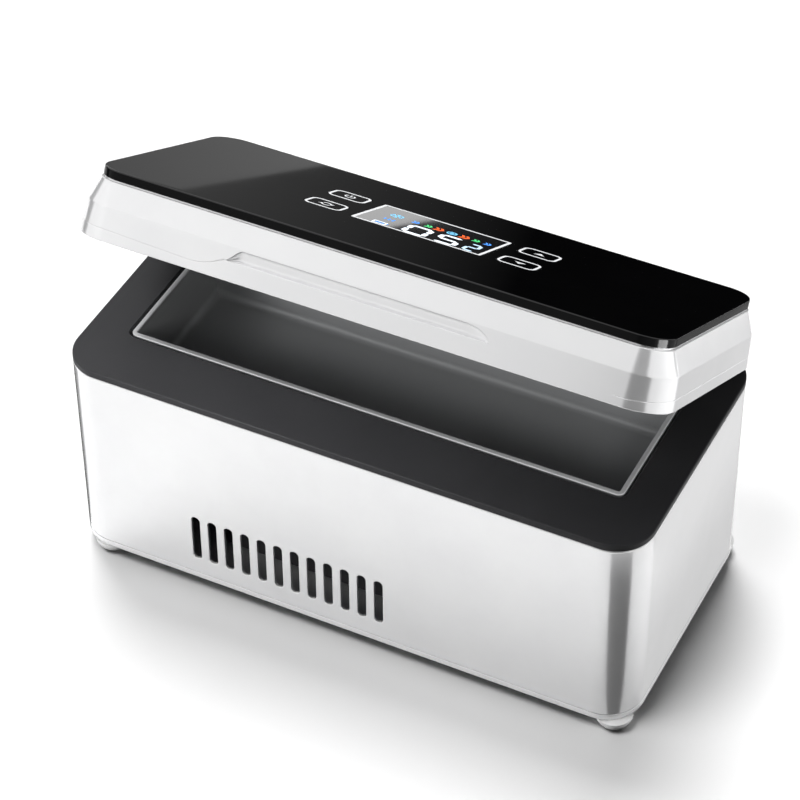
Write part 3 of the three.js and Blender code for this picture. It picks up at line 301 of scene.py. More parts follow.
# Base cover
# The shallow white pan that closes the case from below, moulded in glossy ABS. Its rim meets the shell at a
# thin seam, and four screws in deep pockets hold it.
mm = 0.001
shell_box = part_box("body_shell")
case_y = (shell_box[0].y + shell_box[1].y) / 2 / mm
body_half_x = 107.5
body_half_y = 52.2
body_size = (body_half_x, body_half_y, 14)
cover_low = 5
cover_high = 8
cover_round = 1.3
seam_round = 0.25
cover_lip_in = 2.8
cover_lip_high = 10.5
cover_lip_thick = 1.5
cover_floor = 7.2
corner_arcs = 16
round_steps = 5
circle_steps = 48
side_share = 0.49
least_radius = 0.001
least_corner = 0.05
screw_x = 101.8
screw_y = 30
screw_pocket = 3.1
screw_pocket_deep = 1.9
cut_past = 4
smooth_angle = math.radians(38)


def oblong(half_x, half_y, radius, x=0, y=0, arcs=corner_arcs):
    """Points round a rectangle with rounded corners."""
    points = []
    for quarter, (sx, sy) in enumerate(((1, 1), (-1, 1), (-1, -1), (1, -1))):
        for i in range(arcs + 1):
            angle = (quarter + i / arcs) * math.pi / 2
            point_x = sx * (half_x - radius) + radius * math.cos(angle)
            point_y = sy * (half_y - radius) + radius * math.sin(angle)
            points.append((x + point_x, y + point_y))
    return points


def inset_oblong(size, inset, x=0, y=0, arcs=corner_arcs):
    """Points round a rectangle drawn in by an inset. Its size is its half length, half depth and corner."""
    half_x, half_y, radius = size
    return oblong(half_x - inset, half_y - inset, max(radius - inset, least_corner), x, y, arcs)


def circle(radius, x=0, y=0, steps=circle_steps):
    """Points round a circle."""
    turns = [2 * math.pi * i / steps for i in range(steps)]
    return [(x + radius * math.cos(turn), y + radius * math.sin(turn)) for turn in turns]


def softened(corners, closed=False):
    """Rounds the corners of a section given as (inset, height, round)."""
    count = len(corners)
    points = []
    for i, (inset, height, rounding) in enumerate(corners):
        at_end = not closed and i in (0, count - 1)
        if rounding <= 0 or at_end:
            points.append((inset, height))
            continue
        here = Vector((inset, height))
        back = Vector(corners[i - 1][:2]) - here
        ahead = Vector(corners[(i + 1) % count][:2]) - here
        half = back.angle(ahead) / 2
        reach = min(rounding / math.tan(half), back.length * side_share, ahead.length * side_share)
        radius = reach * math.tan(half)
        centre = here + (back.normalized() + ahead.normalized()).normalized() * radius / math.sin(half)
        first = here + back.normalized() * reach - centre
        last = here + ahead.normalized() * reach - centre
        sweep = first.angle_signed(last)
        for step in range(round_steps + 1):
            points.append(tuple(centre + Matrix.Rotation(-sweep * step / round_steps, 2) @ first))
    return points


def loft(loops, closed=False, builder=None):
    """A bmesh through loops of points with equal counts, capped at both ends unless it closes on itself."""
    if builder is None:
        builder = bmesh.new()
    rows = [[builder.verts.new(point) for point in loop] for loop in loops]
    count = len(rows[0])
    pairs = list(zip(rows, rows[1:]))
    if closed:
        pairs.append((rows[-1], rows[0]))
    for low, high in pairs:
        for i in range(count):
            j = (i + 1) % count
            builder.faces.new((low[i], low[j], high[j], high[i]))
    if not closed:
        builder.faces.new(rows[0])
        builder.faces.new(rows[-1])
    return builder


def run_round(section, outline_at, closed=False):
    """Runs a section of (inset, height) round the case, on the outline that goes with each of its points."""
    loops = []
    for inset, height in section:
        loops.append([(x, y + case_y, height) for x, y in outline_at(inset, height)])
    return loft(loops, closed)


def moulded(section, size, x=0, y=0, arcs=corner_arcs, closed=False):
    """Runs a section of (inset, height) round a rectangle with rounded corners."""
    return run_round(section, lambda inset, height: inset_oblong(size, inset, x, y, arcs), closed)


def turned(section, x=0, y=0, steps=circle_steps):
    """Turns a section of (radius, height) about an upright axis."""
    loops = []
    for radius, height in section:
        loops.append([(px, py, height) for px, py in circle(max(radius, least_radius), x, y, steps)])
    return loft(loops)


def straight_bar(outline, start, end, along):
    """A bar with one outline from start to end, along the x, y or z way (0, 1 or 2)."""
    return loft([[point[:along] + (reach,) + point[along:] for point in outline] for reach in (start, end)])


def smooth(mesh, angle=smooth_angle):
    """Shades faces smooth where they meet at less than an angle."""
    for face in mesh.polygons:
        face.use_smooth = True
    mesh.set_sharp_from_angle(angle=angle)


def new_piece(name, builder, material=None):
    """Turns a bmesh in millimetres into an object in metres, with smooth round faces."""
    mesh = bpy.data.meshes.new(name)
    bmesh.ops.recalc_face_normals(builder, faces=builder.faces)
    builder.to_mesh(mesh)
    builder.free()
    mesh.transform(Matrix.Scale(mm, 4))
    if material:
        smooth(mesh)
        mesh.materials.append(material)
    return add_object(name, mesh)


def mount_piece(piece, body, *nodes, slot=None):
    """Puts a finished piece on its body, in the place of its CAD nodes."""
    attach(piece, body)
    if nodes:
        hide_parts(*nodes)


def settle(piece):
    """Applies a piece's modifiers to its mesh."""
    bpy.context.view_layer.update()
    depsgraph = bpy.context.evaluated_depsgraph_get()
    mesh = bpy.data.meshes.new_from_object(piece.evaluated_get(depsgraph))
    piece.modifiers.clear()
    piece.data = mesh


def work_with(piece, builders, operation):
    """Cuts a piece with other solids, or joins them to it."""
    tools = [new_piece("tool", builder) for builder in builders]
    for tool in tools:
        step = piece.modifiers.new("work", "BOOLEAN")
        step.operation = operation
        step.solver = "EXACT"
        step.object = tool
    settle(piece)
    for tool in tools:
        bpy.data.objects.remove(tool)


def even_faces(piece):
    """Shades a moulding so that its flat faces look flat beside their rounded edges."""
    smooth(piece.data)
    weight = piece.modifiers.new("even_faces", "WEIGHTED_NORMAL")
    weight.keep_sharp = True
    weight.weight = 80
    settle(piece)


def soften_edges(piece, width, segments, angle):
    """Rounds the sharp edges of a moulding."""
    bevel = piece.modifiers.new("soft_edges", "BEVEL")
    bevel.width = width * mm
    bevel.segments = segments
    bevel.limit_method = "ANGLE"
    bevel.angle_limit = math.radians(angle)
    bevel.use_clamp_overlap = True
    settle(piece)
    even_faces(piece)


def colour_clouds(tree, cloud, colour, shade, *ramp_places):
    """Blends a shade into a colour by a noise."""
    blend = new_node(tree, "ValToRGB", cloud)
    for stop, paint in zip(blend.color_ramp.elements, (shade, colour)):
        stop.color = (*paint, 1)
    for stop, at in zip(blend.color_ramp.elements, ramp_places):
        stop.position = at
    return blend


def surface_grain(tree, noise, strength):
    """A fine relief from a noise."""
    return new_node(tree, "Bump", Height=noise, Strength=strength, Distance=0.0001)


def finish_with(tree, **inputs):
    """Ends a material in one surface."""
    new_node(tree, "OutputMaterial", new_node(tree, "BsdfPrincipled", **inputs))


def moulded_plastic(name, colour, shade, roughness, grain, grain_scale, coat=0.0, metallic=0.0, specular=0.5):
    """Injection-moulded plastic: faint clouding in colour and gloss, and a fine surface grain."""
    material, tree = start_material(name)
    place = new_node(tree, "TexCoord").outputs["Object"]
    cloud = new_node(tree, "TexNoise", Vector=place, Scale=28.0, Detail=4.0, Roughness=0.6)
    fine = new_node(tree, "TexNoise", Vector=place, Scale=grain_scale, Detail=3.0, Roughness=0.55)
    gloss = new_node(tree, "MapRange", cloud, 0.3, 0.7, roughness * 0.88, roughness * 1.12)
    finish_with(
        tree,
        Base_Color=colour_clouds(tree, cloud, colour, shade, 0.3, 0.7),
        Roughness=gloss,
        Normal=surface_grain(tree, fine, grain),
        Metallic=metallic,
        Specular_IOR_Level=specular,
        Coat_Weight=coat,
        Coat_Roughness=0.04,
        IOR=1.5,
    )
    return material


white_shell = moulded_plastic(
    "white_shell", (0.83, 0.83, 0.835), (0.79, 0.79, 0.80), 0.2, 0.04, 900.0, coat=0.6, metallic=0.5
)

cover_section = softened([
    (body_half_x, cover_low, 0),
    (0, cover_low, cover_round),
    (0, cover_high, seam_round),
    (cover_lip_in, cover_high, 0),
    (cover_lip_in, cover_lip_high, 0),
    (cover_lip_in + cover_lip_thick, cover_lip_high, 0),
    (cover_lip_in + cover_lip_thick, cover_floor, 0),
])[1:]
base_cover = new_piece("base_cover_pan", moulded(cover_section, body_size), white_shell)
screw_places = [(-screw_x, -screw_y), (screw_x, -screw_y), (-screw_x, screw_y), (screw_x, screw_y)]
pocket_span = (cover_low - cut_past, cover_low + screw_pocket_deep)
pockets = [straight_bar(circle(screw_pocket, x, y + case_y), *pocket_span, 2) for x, y in screw_places]
work_with(base_cover, pockets, "DIFFERENCE")
even_faces(base_cover)
mount_piece(base_cover, "case", "base_cover", slot="white_shell")

# Feet
# Four domed feet of soft white plastic, each pressed into the cover by a peg, with a flat underside to stand
# on.
foot_left_x = -95.4
foot_right_x = 99.8
foot_y = 45.6
foot_places = {
    "foot_front_left": (foot_left_x, -foot_y),
    "foot_front_right": (foot_right_x, -foot_y),
    "foot_rear_left": (foot_left_x, foot_y),
    "foot_rear_right": (foot_right_x, foot_y),
}
foot_corners = [(0, 0, 0), (3.2, 0, 1.2), (5.2, 1.3, 2.0), (6.4, 3.4, 2.0), (6.6, 4.95, 0), (0, 4.95, 0)]
foot_plastic = moulded_plastic("foot_plastic", (0.74, 0.74, 0.74), (0.68, 0.68, 0.68), 0.42, 0.12, 1500.0)

for foot_name, (x, y) in foot_places.items():
    foot = new_piece(foot_name + "_dome", turned(softened(foot_corners), x, y + case_y), foot_plastic)
    even_faces(foot)
    mount_piece(foot, "case", foot_name, slot="white_foot")

# Body shell
# The glossy white sleeve of the case, moulded in ABS with a pearl lacquer. Twelve upright air slots are cut
# low in the front wall and as many in the rear wall, beside the hole for the power inlet. The wall is
# thinner behind them.
shell_low = 8.3
shell_high = 85.7
shell_wall = 2.5
shell_edge = 0.5
slot_count = 12
slot_half = 1.65
slot_low = 15.2
slot_high = 35.2
slot_first = -56.8
slot_pitch = 6.45
inlet_x = -80
inlet_z = 27.4
inlet_hole = 5.65
grille_wall = 1.2
grille_margin = 3.2
front_wall = case_y - body_half_y
rear_wall = case_y + body_half_y

shell_section = softened([
    (0, shell_low, seam_round),
    (0, shell_high, shell_edge),
    (shell_wall, shell_high, 0),
    (shell_wall, shell_low, 0),
], closed=True)
body_shell = new_piece("body_sleeve", moulded(shell_section, body_size, closed=True), white_shell)


def upright_slot(x):
    """The outline of a slot with round ends."""
    outline = []
    for start, middle in ((0, slot_high - slot_half), (math.pi, slot_low + slot_half)):
        for i in range(round_steps * 2 + 1):
            angle = start + math.pi * i / (round_steps * 2)
            outline.append((x + slot_half * math.cos(angle), middle + slot_half * math.sin(angle)))
    return outline


through_front = (front_wall - cut_past, front_wall + shell_wall + cut_past)
through_rear = (rear_wall - shell_wall - cut_past, rear_wall + cut_past)
wall_cuts = []
for i in range(slot_count):
    outline = upright_slot(slot_first + i * slot_pitch)
    wall_cuts.append(straight_bar(outline, *through_front, 1))
    wall_cuts.append(straight_bar(outline, *through_rear, 1))
wall_cuts.append(straight_bar(circle(inlet_hole, inlet_x, inlet_z), *through_rear, 1))
grille_field = rectangle(
    slot_first - slot_half - grille_margin,
    slot_low - grille_margin,
    slot_first + (slot_count - 1) * slot_pitch + slot_half + grille_margin,
    slot_high + grille_margin,
)
wall_cuts.append(straight_bar(grille_field, front_wall + grille_wall, front_wall + shell_wall + 1, 1))
wall_cuts.append(straight_bar(grille_field, rear_wall - shell_wall - 1, rear_wall - grille_wall, 1))
work_with(body_shell, wall_cuts, "DIFFERENCE")
soften_edges(body_shell, width=0.3, segments=3, angle=60)
mount_piece(body_shell, "case", "body_shell", slot="white_shell")

# Cooler and electronics inside the body
# Fan, heat sink, cooling module, cold block, foam, battery, boards and leads keep their CAD shapes and get
# their own finishes. Through the air slots only the fan and the fins can be seen.
node_smooth_angle = math.radians(30)
cross_lines = (60, 2500, 2500)
even_lines = (900, 900, 900)


def painted_nodes(material, *names):
    """Gives CAD nodes a finish and smooth shading on their round faces."""
    for name in names:
        mesh = frame["nodes"][name].data
        mesh.materials.clear()
        mesh.materials.append(material)
        smooth(mesh, node_smooth_angle)


def metal_finish(name, colour, roughness, stretch, scratch, metallic=1.0):
    """Bare or brushed metal, with fine drawn lines along one way."""
    material, tree = start_material(name)
    place = new_node(tree, "TexCoord").outputs["Object"]
    drawn = new_node(tree, "Mapping", place, Scale=stretch)
    lines = new_node(tree, "TexNoise", Vector=drawn, Scale=1.0, Detail=5.0, Roughness=0.7)
    gloss = new_node(tree, "MapRange", lines, To_Min=roughness * 0.75, To_Max=roughness * 1.25)
    finish_with(
        tree,
        Base_Color=(*colour, 1),
        Roughness=gloss,
        Normal=surface_grain(tree, lines, scratch),
        Metallic=metallic,
    )
    return material


black_plastic = moulded_plastic("black_plastic", (0.03, 0.03, 0.032), (0.02, 0.02, 0.022), 0.5, 0.3, 1200.0)
aluminium = metal_finish("milled_aluminium", (0.55, 0.56, 0.57), 0.35, cross_lines, 0.2)
black_anodised = metal_finish("black_anodised", (0.05, 0.05, 0.052), 0.45, cross_lines, 0.2)
plain_steel = metal_finish("plain_steel", (0.58, 0.59, 0.6), 0.28, even_lines, 0.1)
white_ceramic = moulded_plastic("white_ceramic", (0.8, 0.78, 0.73), (0.74, 0.72, 0.67), 0.6, 0.3, 2200.0)
grey_foam = moulded_plastic("grey_foam", (0.09, 0.095, 0.1), (0.05, 0.052, 0.056), 0.95, 1.0, 700.0)
blue_wrap = moulded_plastic("blue_wrap", (0.02, 0.09, 0.3), (0.018, 0.075, 0.25), 0.3, 0.1, 300.0, coat=0.2)
lead_sleeve = moulded_plastic("lead_sleeve", (0.03, 0.03, 0.032), (0.02, 0.02, 0.021), 0.55, 0.1, 1500.0)
board_green = moulded_plastic(
    "board_green", (0.012, 0.12, 0.045), (0.008, 0.085, 0.03), 0.35, 0.3, 1800.0, coat=0.3
)

painted_nodes(black_plastic, "fan_frame", "fan_rotor", "temperature_sensor", "dc_jack", "fan_lead")
painted_nodes(black_plastic, "display_module", "switch_power", "switch_auto", "switch_up", "switch_down")
painted_nodes(black_anodised, "heat_sink")
painted_nodes(aluminium, "cold_block")
painted_nodes(plain_steel, "hinge_pin_left", "hinge_pin_right", "strike_plate_left", "strike_plate_right")
painted_nodes(plain_steel, "lid_magnet_left", "lid_magnet_right")
painted_nodes(grey_foam, "insulation_foam", "lid_foam")
painted_nodes(lead_sleeve, "cooler_lead", "battery_lead")
painted_nodes(board_green, "control_board", "display_board")
painted_nodes(white_ceramic, "cooling_module")
painted_nodes(blue_wrap, "battery_pack")

# Cooling tray
# The cold compartment, drawn from aluminium and anodised grey. Its rim is cut bare to a lighter metal, which
# also paints in the highlight that shows as a light line round the mouth, and its lower edges are rounded.
rim_half_x = 92
rim_half_y = 29.2
rim_wide = 1.8
rim_corner = 2.4
rim_top = 88.5
rim_band = 0.6
tray_floor = 64.5
tray_fillet = 3
tray_under = 63
tray_arcs = 8
flange_out = 3
flange_top = 85.7
flange_low = 84.2

tray_grey = metal_finish("tray_grey", (0.30, 0.305, 0.31), 0.42, (40, 40, 1500), 0.12, metallic=0.3)
cut_rim_and_highlight = metal_finish("cut_rim_and_highlight", (0.62, 0.625, 0.63), 0.35, even_lines, 0.1, metallic=0.5)
tray_section = softened([
    (rim_half_y - 1, tray_floor, 0),
    (rim_wide, tray_floor, tray_fillet),
    (rim_wide, rim_top, 0.3),
    (0, rim_top, 0.4),
    (0, flange_top, 0),
    (-flange_out, flange_top, 0),
    (-flange_out, flange_low, 0),
    (0, flange_low, 0),
    (0, tray_under, tray_fillet),
    (rim_half_y - 1, tray_under, 0),
])
rim_size = (rim_half_x, rim_half_y, rim_corner)
cooling_tray = new_piece("cooling_tray_pan", moulded(tray_section, rim_size, arcs=tray_arcs), tray_grey)
even_faces(cooling_tray)
# The top band of the rim takes the lighter metal: a bare-cut rim, and with it a painted highlight.
cooling_tray.data.materials.append(cut_rim_and_highlight)
for face in cooling_tray.data.polygons:
    if face.center.z > (rim_top - rim_band) * mm:
        face.material_index = 1
mount_piece(cooling_tray, "case", "cooling_tray", slot="anodised_tray")
lamp_reach["tray_only"].objects.link(cooling_tray)

# Bezel and hinge
# The dark satin frame round the mouth, with the fixed knuckles of the two rear hinges moulded on. Its rear
# edge falls away so that the lid can swing back, and steel pins run through the knuckles.
bezel_low = 86
bezel_round = 0.6
mouth_gap = 0.3
mouth_chamfer = 0.9
mouth_inset = body_half_x - rim_half_x - mouth_gap
mouth_inset_y = body_half_y - rim_half_y - mouth_gap
mouth_corner = rim_corner + mouth_gap
hinge_y = 49.6
hinge_z = 89.4
hinge_x = 62
rear_drop = 1.8
hinge_inset = 2.6
knuckle_radius = 2.4
knuckle_room = 2.8
knuckle_mid = 10
knuckle_gap = 0.4
knuckle_side = 8.6
knuckle_steps = 40
pin_bore = 1.15
side_start = knuckle_mid / 2 + knuckle_gap
knuckle_span = side_start + knuckle_side
hinge_places = (-hinge_x, hinge_x)
axis_y = hinge_y + case_y
rear_past = rear_wall + cut_past
long_cut = (-body_half_x * 2, body_half_x * 2)

dark_satin = moulded_plastic(
    "dark_satin", (0.018, 0.018, 0.019), (0.015, 0.015, 0.016), 0.34, 0.25, 2200.0, specular=0.12
)
bezel_section = softened([
    (0, bezel_low, 0.2),
    (0, rim_top, bezel_round),
    (mouth_inset - mouth_chamfer, rim_top, 0),
    (mouth_inset, rim_top - mouth_chamfer, 0),
    (mouth_inset, bezel_low, 0),
], closed=True)


def bezel_outline(inset, height):
    """The bezel's outer outline follows the body, and its inner one the tray."""
    if inset < bezel_round * 2:
        return inset_oblong(body_size, inset)
    half_y = body_half_y - (mouth_inset_y - (mouth_inset - inset))
    return oblong(body_half_x - inset, half_y, mouth_corner + mouth_inset - inset)


def hinge_bars(radius, *spans):
    """Round bars on the axis of both hinges, each over a span from the middle of its hinge."""
    outline = circle(radius, axis_y, hinge_z, knuckle_steps)
    return [straight_bar(outline, x + start, x + end, 0) for start, end in spans for x in hinge_places]


rear_fall = rear_drop / hinge_inset * (rear_past - axis_y)
rear_slope = [
    (axis_y, rim_top),
    (rear_past, rim_top - rear_fall),
    (rear_past, rim_top + cut_past),
    (axis_y, rim_top + cut_past),
]
top_bezel = new_piece("top_bezel_frame", run_round(bezel_section, bezel_outline, closed=True), dark_satin)
lid_knuckle_room = hinge_bars(knuckle_room, (-side_start, side_start))
work_with(top_bezel, [straight_bar(rear_slope, *long_cut, 0)] + lid_knuckle_room, "DIFFERENCE")
case_knuckles = hinge_bars(knuckle_radius, (-knuckle_span, -side_start), (side_start, knuckle_span))
work_with(top_bezel, case_knuckles, "UNION")
pin_holes = hinge_bars(pin_bore, (-knuckle_span - cut_past, knuckle_span + cut_past))
work_with(top_bezel, pin_holes, "DIFFERENCE")
soften_edges(top_bezel, width=0.15, segments=2, angle=60)
mount_piece(top_bezel, "case", "top_bezel", slot="dark_satin")
lamp_reach["bezel_only"].objects.link(top_bezel)

# Lid shell
# The white upper half, moulded like the body. Two leaning bands meet at a crease, a fine parting line runs
# above the rim, and a finger scoop is let into the front. The moving knuckles of the hinges are part of it.
open_angle = 28.4
lid_low = 88.8
lid_high = 108.8
lid_half_x = 107.2
lid_half_y = 51.9
lid_corner = 13.7
lid_wall = 2.2
lid_rise = 2.185
crease_height = 100.3
crease_inset = 1.0
top_inset = 3.8
top_share = 3.4 / 3.8
band_top = 108.35
band_top_inset = 4.35
neck_inset = 5.2
neck_top = 109.0
neck_step = 0.1
top_lip = 3
top_thick = 1.7
least_lid_corner = 1
lid_front = case_y - lid_half_y

hinge_point = Vector((0, axis_y, hinge_z)) * mm
swing = Matrix.Rotation(math.radians(-open_angle), 4, "X")
lid_place = Matrix.Translation(hinge_point) @ swing @ Matrix.Translation(-hinge_point)
lid_section = softened([
    (0, lid_low, 0.3),
    (crease_inset, crease_height, 2.0),
    (band_top_inset, band_top, 0.45),
    (neck_inset, band_top + neck_step, 0),
    (neck_inset, neck_top, 0),
    (top_inset + top_lip, neck_top, 0),
    (top_inset + top_lip, lid_high - top_thick, 0),
    (crease_inset + lid_wall, crease_height, 0),
    (lid_wall, lid_low, 0),
], closed=True)


def raise_lid(piece, body, *nodes, slot=None):
    """Swings a piece that was made with the lid shut to the open lid, and mounts it there."""
    piece.data.transform(lid_place)
    mount_piece(piece, body, *nodes, slot=slot)


def lid_outline(inset, height):
    """Above the crease the lid leans in a little less at its front than at its ends."""
    climb = max(height - crease_height, 0) / (lid_high - crease_height)
    share = 1 + (top_share - 1) * climb
    return oblong(lid_half_x - inset, lid_half_y - inset * share, max(lid_corner - inset, least_lid_corner))


scoop_left = -48.8
scoop_left_top = -42.4
scoop_right = 46.4
scoop_right_top = 37.0
scoop_low = 95.4
scoop_high = 99.8
scoop_steps = 18
scoop_thin_end = 0.12
scoop_least_share = 0.02
scoop_fade = 0.6
# The cove of the scoop, as shares of its height and depths.
scoop_cove = (
    (0.0, 0.0), (0.03, 0.5), (0.09, 0.92), (0.18, 1.2), (0.32, 1.42), (0.5, 1.58), (0.68, 1.7), (0.78, 1.68),
    (0.85, 1.5), (0.9, 1.18), (0.935, 0.78), (0.955, 0.42), (0.975, 0.17), (1.0, 0.03), (1.04, -0.04),
)


def band_lean(height):
    """How far the lid's lower band leans in at a height."""
    return crease_inset * (height - lid_low) / (crease_height - lid_low)


def scoop_solid():
    """The finger hollow: a cove under the crease with a round lip, which thins out to an S at its left."""
    stations = []
    for i in range(scoop_steps + 1):
        share = i / scoop_steps
        x = scoop_left + (scoop_left_top - scoop_left) * share
        stations.append((x, (1 - math.cos(math.pi * share)) / 2))
    for i in range(scoop_steps + 1):
        angle = math.pi / 2 * (1 - i / scoop_steps)
        x = scoop_right_top + (scoop_right - scoop_right_top) * math.cos(angle)
        stations.append((x, math.sin(angle)))
    loops = []
    for x, share in stations:
        tall = max((scoop_high - scoop_low) * share, scoop_thin_end)
        deep = max(share, scoop_least_share) ** scoop_fade
        top = scoop_low + tall
        back = []
        for down, depth in scoop_cove:
            height = top - down * tall
            back.append((x, lid_front + band_lean(height) + depth * deep, height))
        front = [(x, lid_front - cut_past, back[-1][2]), (x, lid_front - cut_past, top)]
        loops.append(back + front)
    return loft(loops)


line_half = 0.22
line_deep = 0.15
line_past = 0.2
line_start = (88.0, 91.0)
line_turn = -62.0
line_low = 91.9
line_high = 92.9
line_fall = 1 / 30
line_climb_from = 95.6
line_climb = 0.08
s_deepening = 1.5
s_path = ((-60.3, 91.9), (-57.4, 92.15), (-55.0, 92.65), (-53.0, 93.35), (-51.0, 94.25), (-48.4, 95.5))


def line_height(x, y):
    """The parting line drops a little toward the middle of the front."""
    if y > case_y:
        return line_high
    if x < 0:
        return min(line_high, line_low + (line_turn - x) * line_fall)
    return line_low + max(0, x - line_climb_from) * line_climb


def line_groove():
    """The fine V of the parting line, round the lid from the right of its front to the scoop's left end."""
    wide = line_half * (1 + line_past / line_deep)
    ring = oblong(lid_half_x, lid_half_y, lid_corner)
    front_right = 3 * (corner_arcs + 1)
    path = [(x, -lid_half_y) for x in line_start]
    path += ring[front_right:] + ring[:front_right] + [(line_turn, -lid_half_y)]
    loops = []
    for i, (x, y) in enumerate(path):
        height = line_height(x, y)
        out_x = math.copysign(max(abs(x) - lid_half_x + lid_corner, 0), x)
        out_y = math.copysign(max(abs(y) - lid_half_y + lid_corner, 0), y)
        out = Vector((out_x, out_y)).normalized()
        spot = Vector((x, y + case_y)) - out * band_lean(height)
        tip = spot - out * (line_deep if i else -line_past / 4)
        rim = spot + out * line_past
        loops.append([(rim.x, rim.y, height - wide), (tip.x, tip.y, height), (rim.x, rim.y, height + wide)])
    for i, (x, height) in enumerate(s_path):
        before = Vector(s_path[max(i - 1, 0)])
        after = Vector(s_path[min(i + 1, len(s_path) - 1)])
        along = (after - before).normalized()
        side = Vector((along.y, -along.x)) * wide
        surface = lid_front + band_lean(height)
        loops.append([
            (x + side.x, surface - line_past, height + side.y),
            (x, surface + line_deep * (1 + s_deepening * i / len(s_path)), height),
            (x - side.x, surface - line_past, height - side.y),
        ])
    return loft(loops)


flat_angle = math.radians(0.15)
sliver = 2e-6


def merge_flat(piece):
    """Joins the slivers that cutting leaves on a flat face."""
    builder = bmesh.new()
    builder.from_mesh(piece.data)
    bmesh.ops.dissolve_degenerate(builder, dist=sliver, edges=builder.edges)
    bmesh.ops.dissolve_limit(builder, angle_limit=flat_angle, verts=builder.verts, edges=builder.edges)
    builder.to_mesh(piece.data)
    builder.free()


lid_climb = lid_rise / hinge_inset * (rear_past - axis_y)
lid_slope = [
    (axis_y, lid_low),
    (axis_y, lid_low - cut_past),
    (rear_past, lid_low - cut_past),
    (rear_past, lid_low + lid_climb),
]
pad_side = 2
pad_drop = 1.5
pad_span = (lid_front + lid_wall - 0.3, lid_front + 4.6)
scoop_pad = rectangle(scoop_left - pad_side, scoop_low - pad_drop, scoop_right + pad_side, crease_height)
half_mid = knuckle_mid / 2
room_end = knuckle_span + knuckle_gap

lid_shell = new_piece("lid_shell_cup", run_round(lid_section, lid_outline, closed=True), white_shell)
work_with(lid_shell, [straight_bar(scoop_pad, *pad_span, 1)], "UNION")
lid_cuts = [scoop_solid(), line_groove(), straight_bar(lid_slope, *long_cut, 0)]
lid_cuts += hinge_bars(knuckle_room, (-room_end, -half_mid), (half_mid, room_end))
work_with(lid_shell, lid_cuts, "DIFFERENCE")
work_with(lid_shell, hinge_bars(knuckle_radius, (-half_mid, half_mid)), "UNION")
work_with(lid_shell, hinge_bars(pin_bore, (-knuckle_mid, knuckle_mid)), "DIFFERENCE")
merge_flat(lid_shell)
soften_edges(lid_shell, width=0.15, segments=3, angle=50)
raise_lid(lid_shell, "lid", "lid_shell", slot="white_shell")
keep_off("off_lid", lid_shell)
lamp_reach["lid_only"].objects.link(lid_shell)

# Top panel
# A plate of black acrylic, polished on its face, glued on the lid shell. Its cut edge takes a copy of the
# black with its reflection turned far down, painted shade that keeps the upright sides dark. It has openings
# for the display window and the four keys.
panel_low = 109.1
panel_high = 112.3
panel_size = (102.75, 48.2, 10.5)
panel_round = 0.56
panel_side_tilt = 0.3
opening_arcs = 8
window_half_x = 24
window_size = (window_half_x, 15.1, 1)
window_y = 2.3
key_x = 35.6
key_high_y = 13.1
key_low_y = -6.4
key_half_y = 5.4
key_size = (7.1, key_half_y, 3)
key_gap = 0.25
key_places = {
    "power": (-key_x, key_high_y),
    "auto": (-key_x, key_low_y),
    "up": (key_x, key_high_y),
    "down": (key_x, key_low_y),
}

black_gloss = moulded_plastic(
    "black_gloss", (0.002, 0.002, 0.0022), (0.0015, 0.0015, 0.0017), 0.04, 0.0, 800.0
)
edge_painted_shade = moulded_plastic(
    "edge_painted_shade", (0.003, 0.003, 0.0031), (0.002, 0.002, 0.0021), 0.12, 0.0, 800.0, specular=0.06
)


def panel_opening(size, x, y):
    """A cutter for an opening in the panel, wider than its part by the gap."""
    outline = inset_oblong(size, -key_gap, x, y + case_y, opening_arcs)
    return straight_bar(outline, panel_low - cut_past, panel_high + cut_past, 2)


panel_section = softened([
    (0, panel_low, 0.15),
    (0, panel_high, panel_round),
    (panel_round * 4, panel_high, 0),
])
top_panel = new_piece("top_panel_plate", moulded(panel_section, panel_size), black_gloss)
openings = [panel_opening(window_size, 0, window_y)]
openings += [panel_opening(key_size, x, y) for x, y in key_places.values()]
work_with(top_panel, openings, "DIFFERENCE")
soften_edges(top_panel, width=0.1, segments=2, angle=60)
# The upright sides take the dimmed copy: painted shade on the cut edge.
top_panel.data.materials.append(edge_painted_shade)
for face in top_panel.data.polygons:
    if abs(face.normal.z) < panel_side_tilt:
        face.material_index = 1
raise_lid(top_panel, "lid", "top_panel", slot="black_gloss")
lamp_reach["panel_only"].objects.link(top_panel)

# Display window and its readout
# A smoked acrylic window flush with the panel, and under its gloss the lit readout: a thin white frame, two
# large numbers, a small one, a star for cold, level bars, a cell sign, a ring and a row of coloured
# chevrons.
window_low = 111.1
window_high = panel_high - 0.03
window_arcs = 6
ink_top = panel_high - 0.005
ink_low = window_high - 0.04
frame_stroke = 1.05
frame_half_x = window_half_x - key_gap
frame_half_y = 14.8
frame_corner = 0.7
digit_lean = -0.05
stroke_gap = 0.16

smoked_lens = moulded_plastic("smoked_lens", (0.008, 0.008, 0.009), (0.006, 0.006, 0.007), 0.04, 0.0, 800.0)


def lit_ink(name, colour, glow):
    """Graphics under the gloss of the panel, which all glow: the lit readout, and the white print as well."""
    material, tree = start_material(name)
    place = new_node(tree, "TexCoord").outputs["Object"]
    cloud = new_node(tree, "TexNoise", Vector=place, Scale=600.0, Detail=2.0)
    tone = colour_clouds(tree, cloud, colour, [part * 0.86 for part in colour])
    finish_with(tree, Base_Color=tone, Emission_Color=tone, Emission_Strength=glow, Roughness=0.12)
    return material


